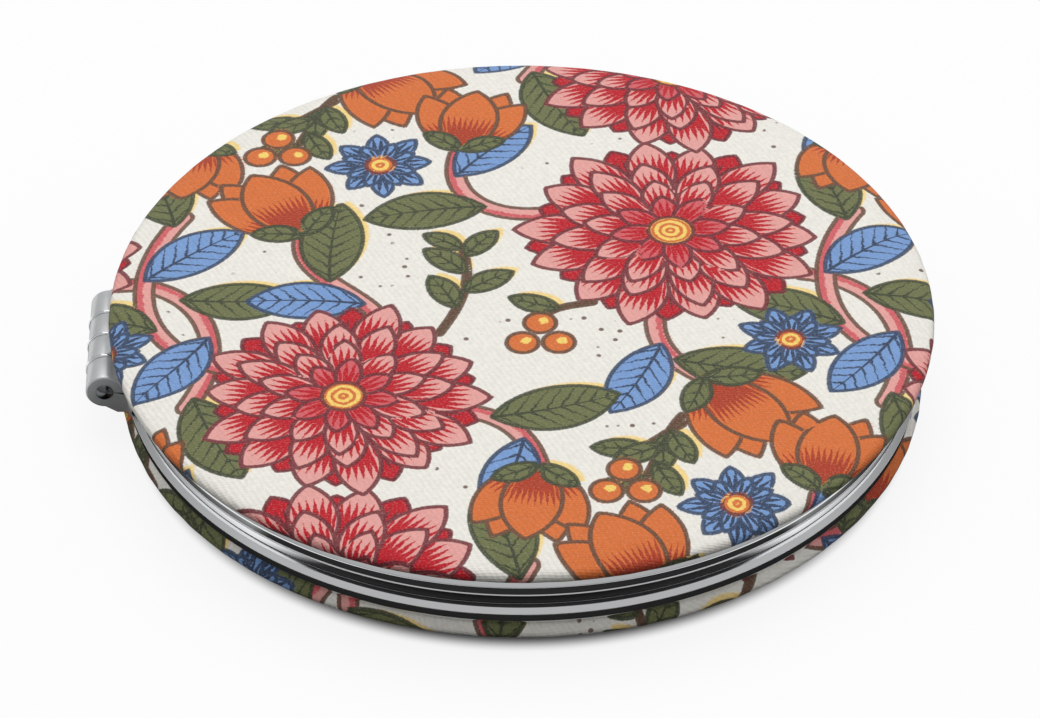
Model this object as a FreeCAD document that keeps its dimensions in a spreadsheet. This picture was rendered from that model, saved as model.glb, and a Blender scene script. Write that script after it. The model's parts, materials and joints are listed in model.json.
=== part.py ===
import FreeCAD, Part
import math
import os
import Sketcher

# A round compact mirror, closed: two like halves, lid and base, each a plated frame that
# carries a mirror inside and a padded, fabric-covered board outside, on a pinned barrel hinge.
# Z is up and the base rests on Z = 0. The axis of the round halves is the Z axis, and the
# hinge lies along Y on the -X side. Each half is drawn in its own frame, with heights
# measured from the parting plane between the halves towards the outside of the half.

# Driving sizes in millimetres; a name that ends in share is a ratio.
SIZES = {
    # Padded covers
    "cover_radius": 35.0,
    "cover_draw_in": 1.5,
    "shoulder_width": 3.5,
    "shoulder_lift": 0.45,
    "lid_crown_rise": 0.5,
    "base_crown_rise": 0.3,
    "base_crown_width": 12.0,
    "fabric_thickness": 0.35,
    "hem_width": 7.0,
    "foam_clearance": 0.05,
    "foam_edge_round": 0.2,
    "foam_edge_rise": 0.45,
    "board_thickness": 0.6,
    "board_clearance": 0.1,
    "adhesive_clearance": 0.2,
    # Plated frames
    "parting_gap": 0.1,
    "flange_inset": 1.1,
    "flange_round_share": 0.88,
    "groove_depth": 0.45,
    "groove_half_height": 0.69,
    "land_width": 3.65,
    "land_round": 0.25,
    "seat_chamfer": 0.15,
    "floor_thickness": 0.7,
    # Mirrors and their tape
    "mirror_recess": 0.3,
    "mirror_clearance": 0.15,
    "mirror_bevel_width": 0.8,
    "mirror_bevel_depth": 0.15,
    "glass_thickness": 1.1,
    "magnifier_radius": 1100.0,
    "tape_thickness": 0.1,
    "tape_inset": 1.0,
    # Closing magnets
    "magnet_margin": 0.8,
    "magnet_depth": 1.0,
    "magnet_clearance": 0.03,
    # Hinge
    "hinge_offset": 0.3,
    "hinge_length": 12.0,
    "barrel_radius": 1.6,
    "barrel_clearance": 0.12,
    "barrel_chamfer": 0.12,
    "leaf_depth": 1.5,
    "leaf_margin": 0.6,
    "leaf_clearance": 0.05,
    "leg_toe": 1.0,
    "pin_radius": 0.55,
    "pin_clearance": 0.03,
    "pin_head_radius": 0.75,
    "pin_head_rise": 0.45,
    "pin_end_play": 0.05,
    "washer_thickness": 0.25,
    "washer_proud": 0.12,
    "washer_play": 0.03,
    "cut_overrun": 1.0,
}
KNUCKLE_COUNT = 4


class Size:
    """A length as a number and as the spreadsheet formula that gives it."""

    def __init__(self, value, formula):
        self.value = value
        self.formula = formula

    def joined(self, other, sign, value):
        return Size(value, "(%s %s %s)" % (self.formula, sign, formula_of(other)))

    def __add__(self, other):
        return self.joined(other, "+", self.value + value_of(other))

    def __sub__(self, other):
        return self.joined(other, "-", self.value - value_of(other))

    def __mul__(self, other):
        return self.joined(other, "*", self.value * value_of(other))

    def __truediv__(self, other):
        return self.joined(other, "/", self.value / value_of(other))

    def __neg__(self):
        return Size(-self.value, "(-%s)" % self.formula)

    def root(self):
        return Size(math.sqrt(self.value), "sqrt(%s)" % self.formula)


def value_of(size):
    return size.value if isinstance(size, Size) else size


def formula_of(size):
    return size.formula if isinstance(size, Size) else str(size)


ZERO = Size(0.0, "0")
doc = FreeCAD.newDocument("CompactMirror")


def make_sheet():
    """Write the driving sizes to a spreadsheet and return them as sizes by name."""
    sheet = doc.addObject("Spreadsheet::Sheet", "Sizes")
    named = {}
    for row, (name, value) in enumerate(SIZES.items(), start=1):
        sheet.set("A%d" % row, name)
        sheet.set("B%d" % row, str(value))
        sheet.setAlias("B%d" % row, name)
        named[name] = Size(value, "Sizes." + name)
    doc.recompute()
    return named


def pinned(sketch, geometry, end, x, y):
    """Hold one end of an edge at (x, y) from the sketch's origin."""
    for size, kind, axis in ((x, "DistanceX", -2), (y, "DistanceY", -1)):
        if size is ZERO:
            sketch.addConstraint(Sketcher.Constraint("PointOnObject", geometry, end, axis))
            continue
        index = sketch.addConstraint(Sketcher.Constraint(kind, -1, 1, geometry, end, size.value))
        sketch.setExpression("Constraints[%d]" % index, size.formula)


def arc_edge(start, finish, radius, turn):
    """A circular arc of under half a turn; turn is 1 to the left and -1 to the right."""
    chord = finish - start
    half = chord.Length / 2
    side = FreeCAD.Vector(-chord.y, chord.x, 0).normalize() * turn
    centre = start + chord / 2 + side * math.sqrt(radius ** 2 - half ** 2)
    first, last = (start, finish) if turn > 0 else (finish, start)
    angles = [math.atan2(p.y - centre.y, p.x - centre.x) for p in (first, last)]
    circle = Part.Circle(centre, FreeCAD.Vector(0, 0, 1), radius)
    return Part.ArcOfCircle(circle, *angles)


def draw_outline(sketch, points):
    """Draw a closed outline. A point is (x, y), or (x, y, radius, turn) at the end of an arc."""
    corners = [FreeCAD.Vector(p[0].value, p[1].value, 0) for p in points]
    edges = []
    for index, point in enumerate(points):
        start, finish = corners[index - 1], corners[index]
        if len(point) == 2:
            edges.append((sketch.addGeometry(Part.LineSegment(start, finish)), 1, 2))
            continue
        radius, turn = point[2:]
        edge = sketch.addGeometry(arc_edge(start, finish, radius.value, turn))
        edges.append((edge, 1, 2) if turn > 0 else (edge, 2, 1))
        constraint = sketch.addConstraint(Sketcher.Constraint("Radius", edge, radius.value))
        sketch.setExpression("Constraints[%d]" % constraint, radius.formula)
    for index, (edge, start_end, finish_end) in enumerate(edges):
        following, following_start, _ = edges[(index + 1) % len(edges)]
        sketch.addConstraint(Sketcher.Constraint("Coincident", edge, finish_end, following, following_start))
        pinned(sketch, edge, finish_end, points[index][0], points[index][1])


def draw_circle(sketch, x, y, radius):
    """Draw a circle about (x, y)."""
    centre = FreeCAD.Vector(x.value, y.value, 0)
    circle = sketch.addGeometry(Part.Circle(centre, FreeCAD.Vector(0, 0, 1), radius.value))
    index = sketch.addConstraint(Sketcher.Constraint("Radius", circle, radius.value))
    sketch.setExpression("Constraints[%d]" % index, radius.formula)
    pinned(sketch, circle, 3, x, y)


def make_body(label):
    body = doc.addObject("PartDesign::Body", label)
    body.Label = label
    return body


def make_sketch(body, name, plane, offset=None):
    """A sketch on one of the body's own origin planes, moved along its normal by offset."""
    sketch = body.newObject("Sketcher::SketchObject", body.Label + "_" + name)
    support = [item for item in body.Origin.OriginFeatures if item.Role == plane][0]
    sketch.AttachmentSupport = (support, [""])
    sketch.MapMode = "FlatFace"
    if offset is not None:
        sketch.setExpression("AttachmentOffset.Base.z", offset.formula)
    return sketch


def turn_sketch(body, kind, name, sketch):
    """A full turn of a sketch about its own vertical axis, added or cut away."""
    feature = body.newObject("PartDesign::" + kind, body.Label + "_" + name)
    feature.Profile = sketch
    feature.ReferenceAxis = (sketch, ["V_Axis"])
    feature.Angle = 360
    doc.recompute()


def pad_sketch(body, name, sketch, length):
    """Raise a sketch into a solid."""
    feature = body.newObject("PartDesign::Pad", body.Label + "_" + name)
    feature.Profile = sketch
    feature.setExpression("Length", length.formula)
    doc.recompute()


def pocket_sketch(body, name, sketch, depth):
    """Cut a sketch into the solid that lies above it."""
    before = body.Shape.Volume
    feature = body.newObject("PartDesign::Pocket", body.Label + "_" + name)
    feature.Profile = sketch
    feature.Reversed = True
    feature.setExpression("Length", depth.formula)
    doc.recompute()
    if body.Shape.Volume >= before:
        raise RuntimeError(feature.Label + " cuts nothing")


def turned_body(label, points):
    """A body turned from one closed outline of (radius, height) points."""
    body = make_body(label)
    sketch = make_sketch(body, "outline", "XZ_Plane")
    draw_outline(sketch, points)
    turn_sketch(body, "Revolution", "turning", sketch)
    return body


def disc(label, radius, bottom, thickness):
    return turned_body(label, [
        (ZERO, bottom),
        (radius, bottom),
        (radius, bottom + thickness),
        (ZERO, bottom + thickness),
    ])


def place(part, base_side, x=ZERO):
    """Put a part on the parting plane: upright for the lid, rolled over about X for the base."""
    angle = 180 if base_side else 0
    turn = FreeCAD.Rotation(FreeCAD.Vector(1, 0, 0), angle)
    part.Placement = FreeCAD.Placement(FreeCAD.Vector(x.value, 0, parting_height.value), turn)
    part.setExpression("Placement.Base.x", x.formula)
    part.setExpression("Placement.Base.z", parting_height.formula)
    return part


sizes = make_sheet()

# Heights from the parting plane outwards
land_height = sizes["parting_gap"] / 2
glass_face = land_height + sizes["mirror_recess"]
glass_back = glass_face + sizes["glass_thickness"]
pan_floor = glass_back + sizes["tape_thickness"]
frame_back = pan_floor + sizes["floor_thickness"]
board_bottom = frame_back + sizes["fabric_thickness"]
board_top = board_bottom + sizes["board_thickness"]
edge_height = board_top + sizes["foam_edge_rise"]
edge_round = sizes["foam_edge_round"] + sizes["foam_clearance"] + sizes["fabric_thickness"]
shoulder_rise = edge_round + sizes["shoulder_lift"]
shoulder_height = edge_height + shoulder_rise
lid_top = shoulder_height + sizes["lid_crown_rise"]
parting_height = shoulder_height + sizes["base_crown_rise"]

# Radii from the outside in
flange_radius = sizes["cover_radius"] - sizes["flange_inset"]
wall_radius = flange_radius - sizes["groove_depth"]
seat_radius = wall_radius - sizes["land_width"]
mirror_radius = seat_radius - sizes["mirror_clearance"]
foot_radius = sizes["cover_radius"] - sizes["cover_draw_in"]
edge_centre = sizes["cover_radius"] - edge_round
shoulder_radius = sizes["cover_radius"] - sizes["shoulder_width"]
base_rest_radius = shoulder_radius - sizes["base_crown_width"]

# Hinge, about its own axis
hinge_axis = sizes["cover_radius"] + sizes["hinge_offset"]
leaf_seat = hinge_axis - flange_radius + sizes["leaf_depth"]
leaf_half = sizes["hinge_length"] / 2 + sizes["leaf_margin"]
bore_radius = sizes["pin_radius"] + sizes["pin_clearance"]
washer_radius = sizes["barrel_radius"] + sizes["washer_proud"]
relief_radius = washer_radius + sizes["barrel_clearance"]
knuckle_gap = sizes["washer_thickness"] / 2 + sizes["washer_play"]
joint_places = [sizes["hinge_length"] * count / KNUCKLE_COUNT - sizes["hinge_length"] / 2
                for count in range(KNUCKLE_COUNT + 1)]

# The drawn-in side of a cover is the straight line from its foot on the frame that touches
# the small round at its widest; slope_run and slope_rise are that line's direction.
edge_run = edge_centre - foot_radius
edge_rise = edge_height - frame_back
edge_distance_squared = edge_run * edge_run + edge_rise * edge_rise
side_length = (edge_distance_squared - edge_round * edge_round).root()
slope_run = (edge_run * side_length + edge_rise * edge_round) / edge_distance_squared
slope_rise = (edge_rise * side_length - edge_run * edge_round) / edge_distance_squared


def side_radius(inset, height):
    """Radius at a height on the cover's drawn-in side, a distance inset below its surface."""
    return foot_radius + ((height - frame_back) * slope_run - inset) / slope_rise


def cover_curve(inset, top, flat_radius):
    """Points up the cover from its widest round to its middle, a distance inset below its surface.

    Three arcs that touch: the small round, the shoulder, and the crown that ends level with
    the top at flat_radius. lean and lift are the crown's outward direction at the shoulder.
    """
    width = shoulder_radius - flat_radius
    rise = top - shoulder_height
    crown_arc = (width * width + rise * rise) / rise / 2
    lean = width / crown_arc
    lift = (crown_arc - rise) / crown_arc
    span = sizes["shoulder_width"] - edge_round
    span_squared = span * span + shoulder_rise * shoulder_rise - edge_round * edge_round
    shoulder_arc = span_squared / (shoulder_rise * lift - span * lean - edge_round) / 2
    centre_radius = shoulder_radius - shoulder_arc * lean
    centre_height = shoulder_height - shoulder_arc * lift
    small_round = edge_round - inset
    pull = small_round / (shoulder_arc - edge_round)
    points = [
        (edge_centre + small_round * slope_rise, edge_height - small_round * slope_run),
        (edge_centre + (edge_centre - centre_radius) * pull,
         edge_height + (edge_height - centre_height) * pull, small_round, 1),
        (shoulder_radius - lean * inset, shoulder_height - lift * inset, shoulder_arc - inset, 1),
        (flat_radius, top - inset, crown_arc - inset, 1),
    ]
    if flat_radius is not ZERO:
        points.append((ZERO, top - inset))
    return points


def reversed_curve(points):
    """The same curve walked the other way, so that each arc turns to the other side."""
    backwards = [points[-1][:2]]
    for point, following in zip(points[-2::-1], points[:0:-1]):
        arc = (following[2], -following[3]) if len(following) == 4 else ()
        backwards.append(point[:2] + arc)
    return backwards


def make_frame(label):
    """The plated frame: mirror seat, flat land, finger groove and outer flange."""
    flange_round = sizes["groove_depth"] * sizes["flange_round_share"]
    body = turned_body(label, [
        (ZERO, pan_floor),
        (seat_radius, pan_floor),
        (seat_radius, land_height + sizes["seat_chamfer"]),
        (seat_radius + sizes["seat_chamfer"], land_height),
        (wall_radius - sizes["land_round"], land_height),
        (wall_radius, land_height + sizes["land_round"], sizes["land_round"], 1),
        (wall_radius, sizes["groove_half_height"]),
        (flange_radius - flange_round, sizes["groove_half_height"]),
        (flange_radius, sizes["groove_half_height"] + flange_round, flange_round, 1),
        (flange_radius, frame_back - flange_round),
        (flange_radius - flange_round, frame_back, flange_round, 1),
        (ZERO, frame_back),
    ])
    notch = make_sketch(body, "hinge_notch", "XY_Plane")
    notch_floor = flange_radius - sizes["leaf_depth"]
    notch_mouth = flange_radius + sizes["cut_overrun"]
    notch_half = leaf_half + sizes["leaf_clearance"]
    draw_outline(notch, [
        (-notch_mouth, -notch_half),
        (-notch_floor, -notch_half),
        (-notch_floor, notch_half),
        (-notch_mouth, notch_half),
    ])
    pocket_sketch(body, "hinge_notch_cut", notch, frame_back + sizes["cut_overrun"])
    hole = make_sketch(body, "magnet_hole", "XY_Plane")
    draw_circle(hole, magnet_place(), ZERO, magnet_radius() + sizes["magnet_clearance"])
    pocket_sketch(body, "magnet_hole_cut", hole, land_height + sizes["magnet_depth"])
    return body


def magnet_place():
    return wall_radius - sizes["land_width"] / 2


def magnet_radius():
    return sizes["land_width"] / 2 - sizes["magnet_margin"]


def make_magnet(label):
    """A closing magnet, flush with the land opposite the hinge."""
    body = make_body(label)
    sketch = make_sketch(body, "outline", "XY_Plane", land_height)
    draw_circle(sketch, magnet_place(), ZERO, magnet_radius())
    pad_sketch(body, "block", sketch, sizes["magnet_depth"])
    return body


def make_mirror(label, magnifying):
    """A round mirror with a bevelled edge; the magnifying one is hollowed to a large radius."""
    bevel_start = mirror_radius - sizes["mirror_bevel_width"]
    rim = [
        (mirror_radius, glass_face + sizes["mirror_bevel_depth"]),
        (mirror_radius, glass_back),
        (ZERO, glass_back),
    ]
    if not magnifying:
        return turned_body(label, [(ZERO, glass_face), (bevel_start, glass_face)] + rim)
    hollow_radius = sizes["magnifier_radius"]
    hollow = hollow_radius - (hollow_radius * hollow_radius - bevel_start * bevel_start).root()
    return turned_body(label, [
        (ZERO, glass_face + hollow),
        (bevel_start, glass_face, hollow_radius, -1),
    ] + rim)


def make_fabric(label, top, flat_radius):
    """The printed fabric: a skin drawn over the pad, in under the board and hemmed there."""
    thickness = sizes["fabric_thickness"]
    outside = cover_curve(ZERO, top, flat_radius)
    inside = reversed_curve(cover_curve(thickness, top, flat_radius))
    hem_edge = foot_radius - sizes["hem_width"]
    return turned_body(label, [(foot_radius, frame_back)] + outside + inside + [
        (side_radius(thickness, board_bottom), board_bottom),
        (hem_edge, board_bottom),
        (hem_edge, frame_back),
    ])


def make_foam(label, top, flat_radius):
    """The foam pad between the board and the fabric."""
    inset = sizes["fabric_thickness"] + sizes["foam_clearance"]
    return turned_body(label, [
        (ZERO, board_top),
        (side_radius(inset, board_top), board_top),
    ] + cover_curve(inset, top, flat_radius))


def make_leaf(label):
    """A hinge leaf: a plate let into the frame, with legs out to every other knuckle."""
    body = make_body(label)
    plate = make_sketch(body, "plate", "XY_Plane", land_height)
    plate_edge = hinge_axis - (flange_radius * flange_radius - leaf_half * leaf_half).root()
    draw_outline(plate, [
        (leaf_seat, -leaf_half),
        (leaf_seat, leaf_half),
        (plate_edge, leaf_half),
        (plate_edge, -leaf_half, flange_radius, 1),
    ])
    pad_sketch(body, "plate_pad", plate, frame_back - land_height)
    knuckles = []
    for count in range(1, KNUCKLE_COUNT, 2):
        near = joint_places[count] + knuckle_gap
        far = joint_places[count + 1]
        if count + 1 < KNUCKLE_COUNT:
            far = far - knuckle_gap
        knuckles.append((near, far))
    for number, (near, far) in enumerate(knuckles, start=1):
        leg = make_sketch(body, "leg%d" % number, "XZ_Plane", -far)
        draw_outline(leg, [
            (ZERO, land_height),
            (leaf_seat, land_height),
            (leaf_seat, frame_back),
            (sizes["leg_toe"], frame_back),
            (ZERO, sizes["barrel_radius"]),
        ])
        pad_sketch(body, "leg%d_pad" % number, leg, far - near)
    relief = make_sketch(body, "relief", "XY_Plane")
    start = -(leaf_half + sizes["cut_overrun"])
    for near, far in knuckles:
        draw_outline(relief, [(ZERO, start), (relief_radius, start), (relief_radius, near), (ZERO, near)])
        start = far
    turn_sketch(body, "Groove", "relief_cut", relief)
    barrels = make_sketch(body, "barrels", "XY_Plane")
    for near, far in knuckles:
        draw_outline(barrels, [
            (ZERO, near),
            (sizes["barrel_radius"] - sizes["barrel_chamfer"], near),
            (sizes["barrel_radius"], near + sizes["barrel_chamfer"]),
            (sizes["barrel_radius"], far - sizes["barrel_chamfer"]),
            (sizes["barrel_radius"] - sizes["barrel_chamfer"], far),
            (ZERO, far),
        ])
    turn_sketch(body, "Revolution", "barrel_turning", barrels)
    bore = make_sketch(body, "bore", "XY_Plane")
    bore_end = leaf_half + sizes["cut_overrun"]
    draw_outline(bore, [
        (ZERO, -bore_end),
        (bore_radius, -bore_end),
        (bore_radius, bore_end),
        (ZERO, bore_end),
    ])
    turn_sketch(body, "Groove", "bore_cut", bore)
    return body


def make_pin(label):
    """The hinge pin, with a domed head at each end."""
    head = sizes["pin_head_radius"]
    rise = sizes["pin_head_rise"]
    dome = (head * head + rise * rise) / rise / 2
    end = sizes["hinge_length"] / 2 + sizes["pin_end_play"]
    body = make_body(label)
    sketch = make_sketch(body, "outline", "XY_Plane")
    draw_outline(sketch, [
        (ZERO, -(end + rise)),
        (head, -end, dome, 1),
        (sizes["pin_radius"], -end),
        (sizes["pin_radius"], end),
        (head, end),
        (ZERO, end + rise, dome, 1),
    ])
    turn_sketch(body, "Revolution", "turning", sketch)
    return body


def make_washers(label):
    """The thin friction washers between the knuckles."""
    body = make_body(label)
    sketch = make_sketch(body, "outline", "XY_Plane")
    half = sizes["washer_thickness"] / 2
    for joint in joint_places[1:-1]:
        draw_outline(sketch, [
            (bore_radius, joint - half),
            (washer_radius, joint - half),
            (washer_radius, joint + half),
            (bore_radius, joint + half),
        ])
    turn_sketch(body, "Revolution", "turning", sketch)
    return body


def make_half(name, base_side, top, flat_radius):
    """All pieces of one half, from the mirror out to the fabric."""
    tape_radius = mirror_radius - sizes["tape_inset"]
    adhesive_radius = foot_radius - sizes["hem_width"] - sizes["adhesive_clearance"]
    board_radius = side_radius(sizes["fabric_thickness"], board_bottom) - sizes["board_clearance"]
    half = [
        make_frame(name + "_frame"),
        make_mirror(name + "_mirror", not base_side),
        disc(name + "_mirror_tape", tape_radius, glass_back, sizes["tape_thickness"]),
        disc(name + "_cover_adhesive", adhesive_radius, frame_back, sizes["fabric_thickness"]),
        disc(name + "_backing_board", board_radius, board_bottom, sizes["board_thickness"]),
        make_foam(name + "_foam_pad", top, flat_radius),
        make_fabric(name + "_fabric_cover", top, flat_radius),
        make_magnet(name + "_magnet"),
    ]
    for part in half:
        place(part, base_side)
    return half + [place(make_leaf(name + "_hinge_leaf"), base_side, -hinge_axis)]


def check_and_write(parts):
    """Stop on any failed object or faulty solid, then write one STEP file for each piece."""
    doc.recompute()
    failed = [item.Label for item in doc.Objects if {"Invalid", "Error"} & set(item.State)]
    faulty = [part.Label for part in parts if part.Shape.isNull() or not part.Shape.isValid()]
    if failed or faulty:
        raise RuntimeError("failed objects %s, faulty shapes %s" % (failed, faulty))
    os.makedirs("parts", exist_ok=True)
    for part in parts:
        part.Shape.exportStep("parts/%s.step" % part.Label)
        print("%-24s solids %d volume %10.3f" % (part.Label, len(part.Shape.Solids), part.Shape.Volume))


parts = make_half("base", True, parting_height, base_rest_radius)
parts += make_half("lid", False, lid_top, ZERO)
parts.append(place(make_pin("hinge_pin"), True, -hinge_axis))
parts.append(place(make_washers("hinge_washers"), True, -hinge_axis))
check_and_write(parts)
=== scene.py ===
import json
import math

import bmesh
import bpy
import numpy as np
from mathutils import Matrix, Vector


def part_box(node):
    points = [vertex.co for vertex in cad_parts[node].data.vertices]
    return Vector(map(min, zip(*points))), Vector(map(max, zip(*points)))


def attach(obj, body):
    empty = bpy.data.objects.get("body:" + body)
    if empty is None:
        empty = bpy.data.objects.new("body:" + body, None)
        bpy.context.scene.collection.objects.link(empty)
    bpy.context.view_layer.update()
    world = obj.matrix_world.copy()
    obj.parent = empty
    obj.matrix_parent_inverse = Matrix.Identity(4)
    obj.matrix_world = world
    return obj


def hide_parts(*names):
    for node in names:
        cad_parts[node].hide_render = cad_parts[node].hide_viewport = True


# A closed compact mirror: printed fabric over foam, chromed frames, mirrors and a barrel hinge.
# Shapes are worked out in millimetres, each half in its own frame: X and Y as in the packed
# part, and height from the parting plane between the halves towards the outside of the half.
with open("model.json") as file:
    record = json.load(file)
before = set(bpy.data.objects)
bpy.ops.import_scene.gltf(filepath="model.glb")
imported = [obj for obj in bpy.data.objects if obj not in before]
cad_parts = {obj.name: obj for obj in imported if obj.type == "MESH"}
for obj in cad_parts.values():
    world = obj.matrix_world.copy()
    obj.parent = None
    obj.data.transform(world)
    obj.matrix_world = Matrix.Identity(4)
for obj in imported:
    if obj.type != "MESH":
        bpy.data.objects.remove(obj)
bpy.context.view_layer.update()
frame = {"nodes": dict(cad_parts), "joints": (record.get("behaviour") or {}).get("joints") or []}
hinge = frame["joints"][0]
MM = 0.001


def node_box(node):
    """Lowest and highest corner of a CAD node, in millimetres."""
    return [np.array(corner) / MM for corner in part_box(node)]


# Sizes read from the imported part, in millimetres
parting = hinge["pos_m"][2] / MM
hinge_x = hinge["pos_m"][0] / MM
cover_low, cover_high = node_box("lid_fabric_cover")
cover_radius = cover_high[0]
frame_back = cover_low[2] - parting
lid_top = cover_high[2] - parting
base_top = parting
frame_low, frame_high = node_box("lid_frame")
flange_radius = frame_high[0]
land_height = frame_low[2] - parting
mirror_low, mirror_high = node_box("base_mirror")
mirror_radius = mirror_high[0]
glass_face = parting - mirror_high[2]
glass_back = parting - mirror_low[2]
pan_floor = parting - node_box("base_mirror_tape")[0][2]
board_low, board_high = node_box("lid_backing_board")
board_radius = board_high[0]
board_bottom = board_low[2] - parting
board_top = board_high[2] - parting
pin_low, pin_high = node_box("hinge_pin")
pin_half = pin_high[1]
pin_head_radius = (pin_high[2] - pin_low[2]) / 2
washer_radius = node_box("hinge_washers")[1][2] - parting
leaf_low, leaf_high = node_box("lid_hinge_leaf")
leaf_half = leaf_high[1]
leaf_seat = leaf_high[0] - hinge_x
barrel_radius = parting - leaf_low[2]
magnet_low, magnet_high = node_box("lid_magnet")
magnet_radius = magnet_high[1]
magnet_place = (magnet_low[0] + magnet_high[0]) / 2
magnet_depth = magnet_high[2] - magnet_low[2]

# Further sizes of the same pieces, in millimetres
COVER_DRAW_IN = 1.5
BASE_PRESS_IN = 0.81
SHOULDER_WIDTH = 3.5
BASE_CROWN_WIDTH = 12.0
BOARD_CLEARANCE = 0.08
FABRIC_THICKNESS = 0.35
FOAM_CLEARANCE = 0.05
HEM_WIDTH = 7.0
GATHER_SPAN = 3.8
GROOVE_HALF_HEIGHT = 0.6
GROOVE_DEPTH = 0.45
GROOVE_DRAFT = 0.14
GROOVE_CORNER = 0.03
LAND_WIDTH = 3.65
LAND_ROUND = 0.015
LIP_BEVEL_WIDTH = 0.36
LIP_BEVEL_HEIGHT = 0.5
LIP_EDGE_ROUND = 0.08
LIP_FACE_ROUND = 0.35
FACE_DEPTH = 0.09
FLARE_HEIGHT = 0.09
FLARE_ROUND = 0.04
RIM_BEVEL_HEIGHT = 0.4
RIM_ROUND = 0.05
SEAT_CHAMFER = 0.15
NOTCH_CLEARANCE = 0.05
MAGNET_CLEARANCE = 0.03
MAGNET_HOLE_CHAMFER = 0.06
MIRROR_BEVEL_WIDTH = 0.8
MIRROR_BEVEL_DEPTH = 0.15
MIRROR_EDGE_ROUND = 0.06
MAGNIFIER_RADIUS = 1100.0
HINGE_LENGTH = 12.0
KNUCKLE_COUNT = 4
KNUCKLE_GAP = 0.155
KNUCKLE_ROUND = 0.14
END_FACE_INSET = 0.2
LEG_TOE = 1.0
LEG_TUCK = 0.02
PIN_RADIUS = 0.55
PIN_HEAD_RISE = 0.45
BORE_RADIUS = 0.58
RELIEF_RADIUS = 1.84
WASHER_THICKNESS = 0.25
WASHER_ROUND = 0.09

wall_radius = flange_radius - GROOVE_DEPTH
seat_radius = wall_radius - LAND_WIDTH
foot_radius = cover_radius - COVER_DRAW_IN
base_radius = cover_radius - BASE_PRESS_IN

# The covers: the base's edge is drawn in further than the lid's
COVER_SHAPES = {
    "lid": {"top": lid_top, "flat": 0.0, "radius": cover_radius,
            "edge_round": 0.6, "edge_height": 3.65, "shoulder_rise": 1.05},
    "base": {"top": base_top, "flat": base_radius - SHOULDER_WIDTH - BASE_CROWN_WIDTH,
             "radius": base_radius, "edge_round": 0.45, "edge_height": 2.97, "shoulder_rise": 1.3},
}


# Meshes

HALF_TURNS = {"lid": (1, 1, 1), "base": (1, -1, -1)}
# Points closer than this, in metres, are merged
MERGE_DISTANCE = 1e-7


def add_object(name, data):
    """An object of the scene for a mesh, a lamp or a camera."""
    made = bpy.data.objects.new(name, data)
    bpy.context.scene.collection.objects.link(made)
    return made


def make_piece(name, body, points, faces, finish, node, slot, smooth_angle=35, merge=True):
    """A mesh piece in place of a CAD node, from points in millimetres and faces of point numbers.

    Points that fall together are merged, and edges are smooth up to smooth_angle in degrees.
    """
    mesh = bpy.data.meshes.new(name)
    mesh.from_pydata((points * MM).tolist(), [], [list(face) for face in faces])
    if merge:
        work = bmesh.new()
        work.from_mesh(mesh)
        bmesh.ops.remove_doubles(work, verts=work.verts, dist=MERGE_DISTANCE)
        bmesh.ops.dissolve_degenerate(work, edges=work.edges, dist=MERGE_DISTANCE)
        bmesh.ops.recalc_face_normals(work, faces=work.faces)
        work.to_mesh(mesh)
        work.free()
    mesh.shade_smooth()
    mesh.set_sharp_from_angle(angle=math.radians(smooth_angle))
    mesh.materials.append(finish)
    piece = add_object(name, mesh)
    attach(piece, body)
    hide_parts(node)
    return piece


def make_half_piece(half, name, points, faces, finish, node, slot, **ways):
    """A piece of one half, from the half's own points.

    The lid's stand on the parting plane. The base's roll over about X and hang from it.
    """
    points = points * np.array(HALF_TURNS[half]) + np.array([0, 0, parting])
    return make_piece(half + name, half, points, faces, finish, half + node, slot, **ways)


def grid_points(x, y, z):
    """The points of a grid, from coordinates by row, by column or for every point."""
    return np.stack(np.broadcast_arrays(x, y, z), axis=-1).reshape(-1, 3)


def grid_faces(numbers):
    """Quads between the rows and columns of an array of point numbers."""
    corners = [numbers[:-1, :-1], numbers[1:, :-1], numbers[1:, 1:], numbers[:-1, 1:]]
    return np.stack(corners, axis=-1).reshape(-1, 4)


def closed(numbers):
    """Rows of point numbers, each with its first number again at its end."""
    return np.concatenate([numbers, numbers[:, :1]], axis=1)


def closed_numbers(rows, columns):
    """Point numbers of a grid whose last column joins its first."""
    return closed(np.arange(rows * columns).reshape(rows, columns))


def with_rings(points, loop, rings):
    """Points with rings added after them, and the closed numbers of a loop and then the rings."""
    numbers = len(points) + np.arange(len(rings)).reshape(-1, len(loop))
    return np.concatenate([points, rings]), closed(np.concatenate([loop[None], numbers]))


def rounded(corners, steps=8):
    """An open outline whose inner corners (x, y, radius) are rounded.

    Each arc touches both sides of its corner, radius / tan(half the corner's angle) away from
    the corner, and steps points divide it evenly. A corner of no radius stays sharp.
    """
    corners = np.array(corners, float)
    outline = []
    for index, (x, y, radius) in enumerate(corners):
        corner = np.array([x, y])
        if radius == 0:
            outline.append(corner[None])
            continue
        back = corners[index - 1, :2] - corner
        ahead = corners[index + 1, :2] - corner
        back /= np.linalg.norm(back)
        ahead /= np.linalg.norm(ahead)
        half = math.acos(np.clip(back @ ahead, -1, 1)) / 2
        middle = (back + ahead) / np.linalg.norm(back + ahead)
        centre = corner + middle * radius / math.sin(half)
        first = corner + back * radius / math.tan(half) - centre
        last = corner + ahead * radius / math.tan(half) - centre
        sweep = math.pi - 2 * half
        share = np.linspace(0, 1, steps)[:, None]
        arc = first * np.sin((1 - share) * sweep) + last * np.sin(share * sweep)
        outline.append(centre + arc / math.sin(sweep))
    return np.concatenate(outline)


def directions(angles):
    """Unit vectors at angles in radians: the cosine and the sine of each."""
    return np.stack([np.cos(angles), np.sin(angles)], axis=-1)


def arc_points(centre, radius, first, last, steps):
    """Points on an arc about centre, from the direction first to last, angles in radians."""
    return directions(np.linspace(first, last, steps)) * radius + np.array(centre)


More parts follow.
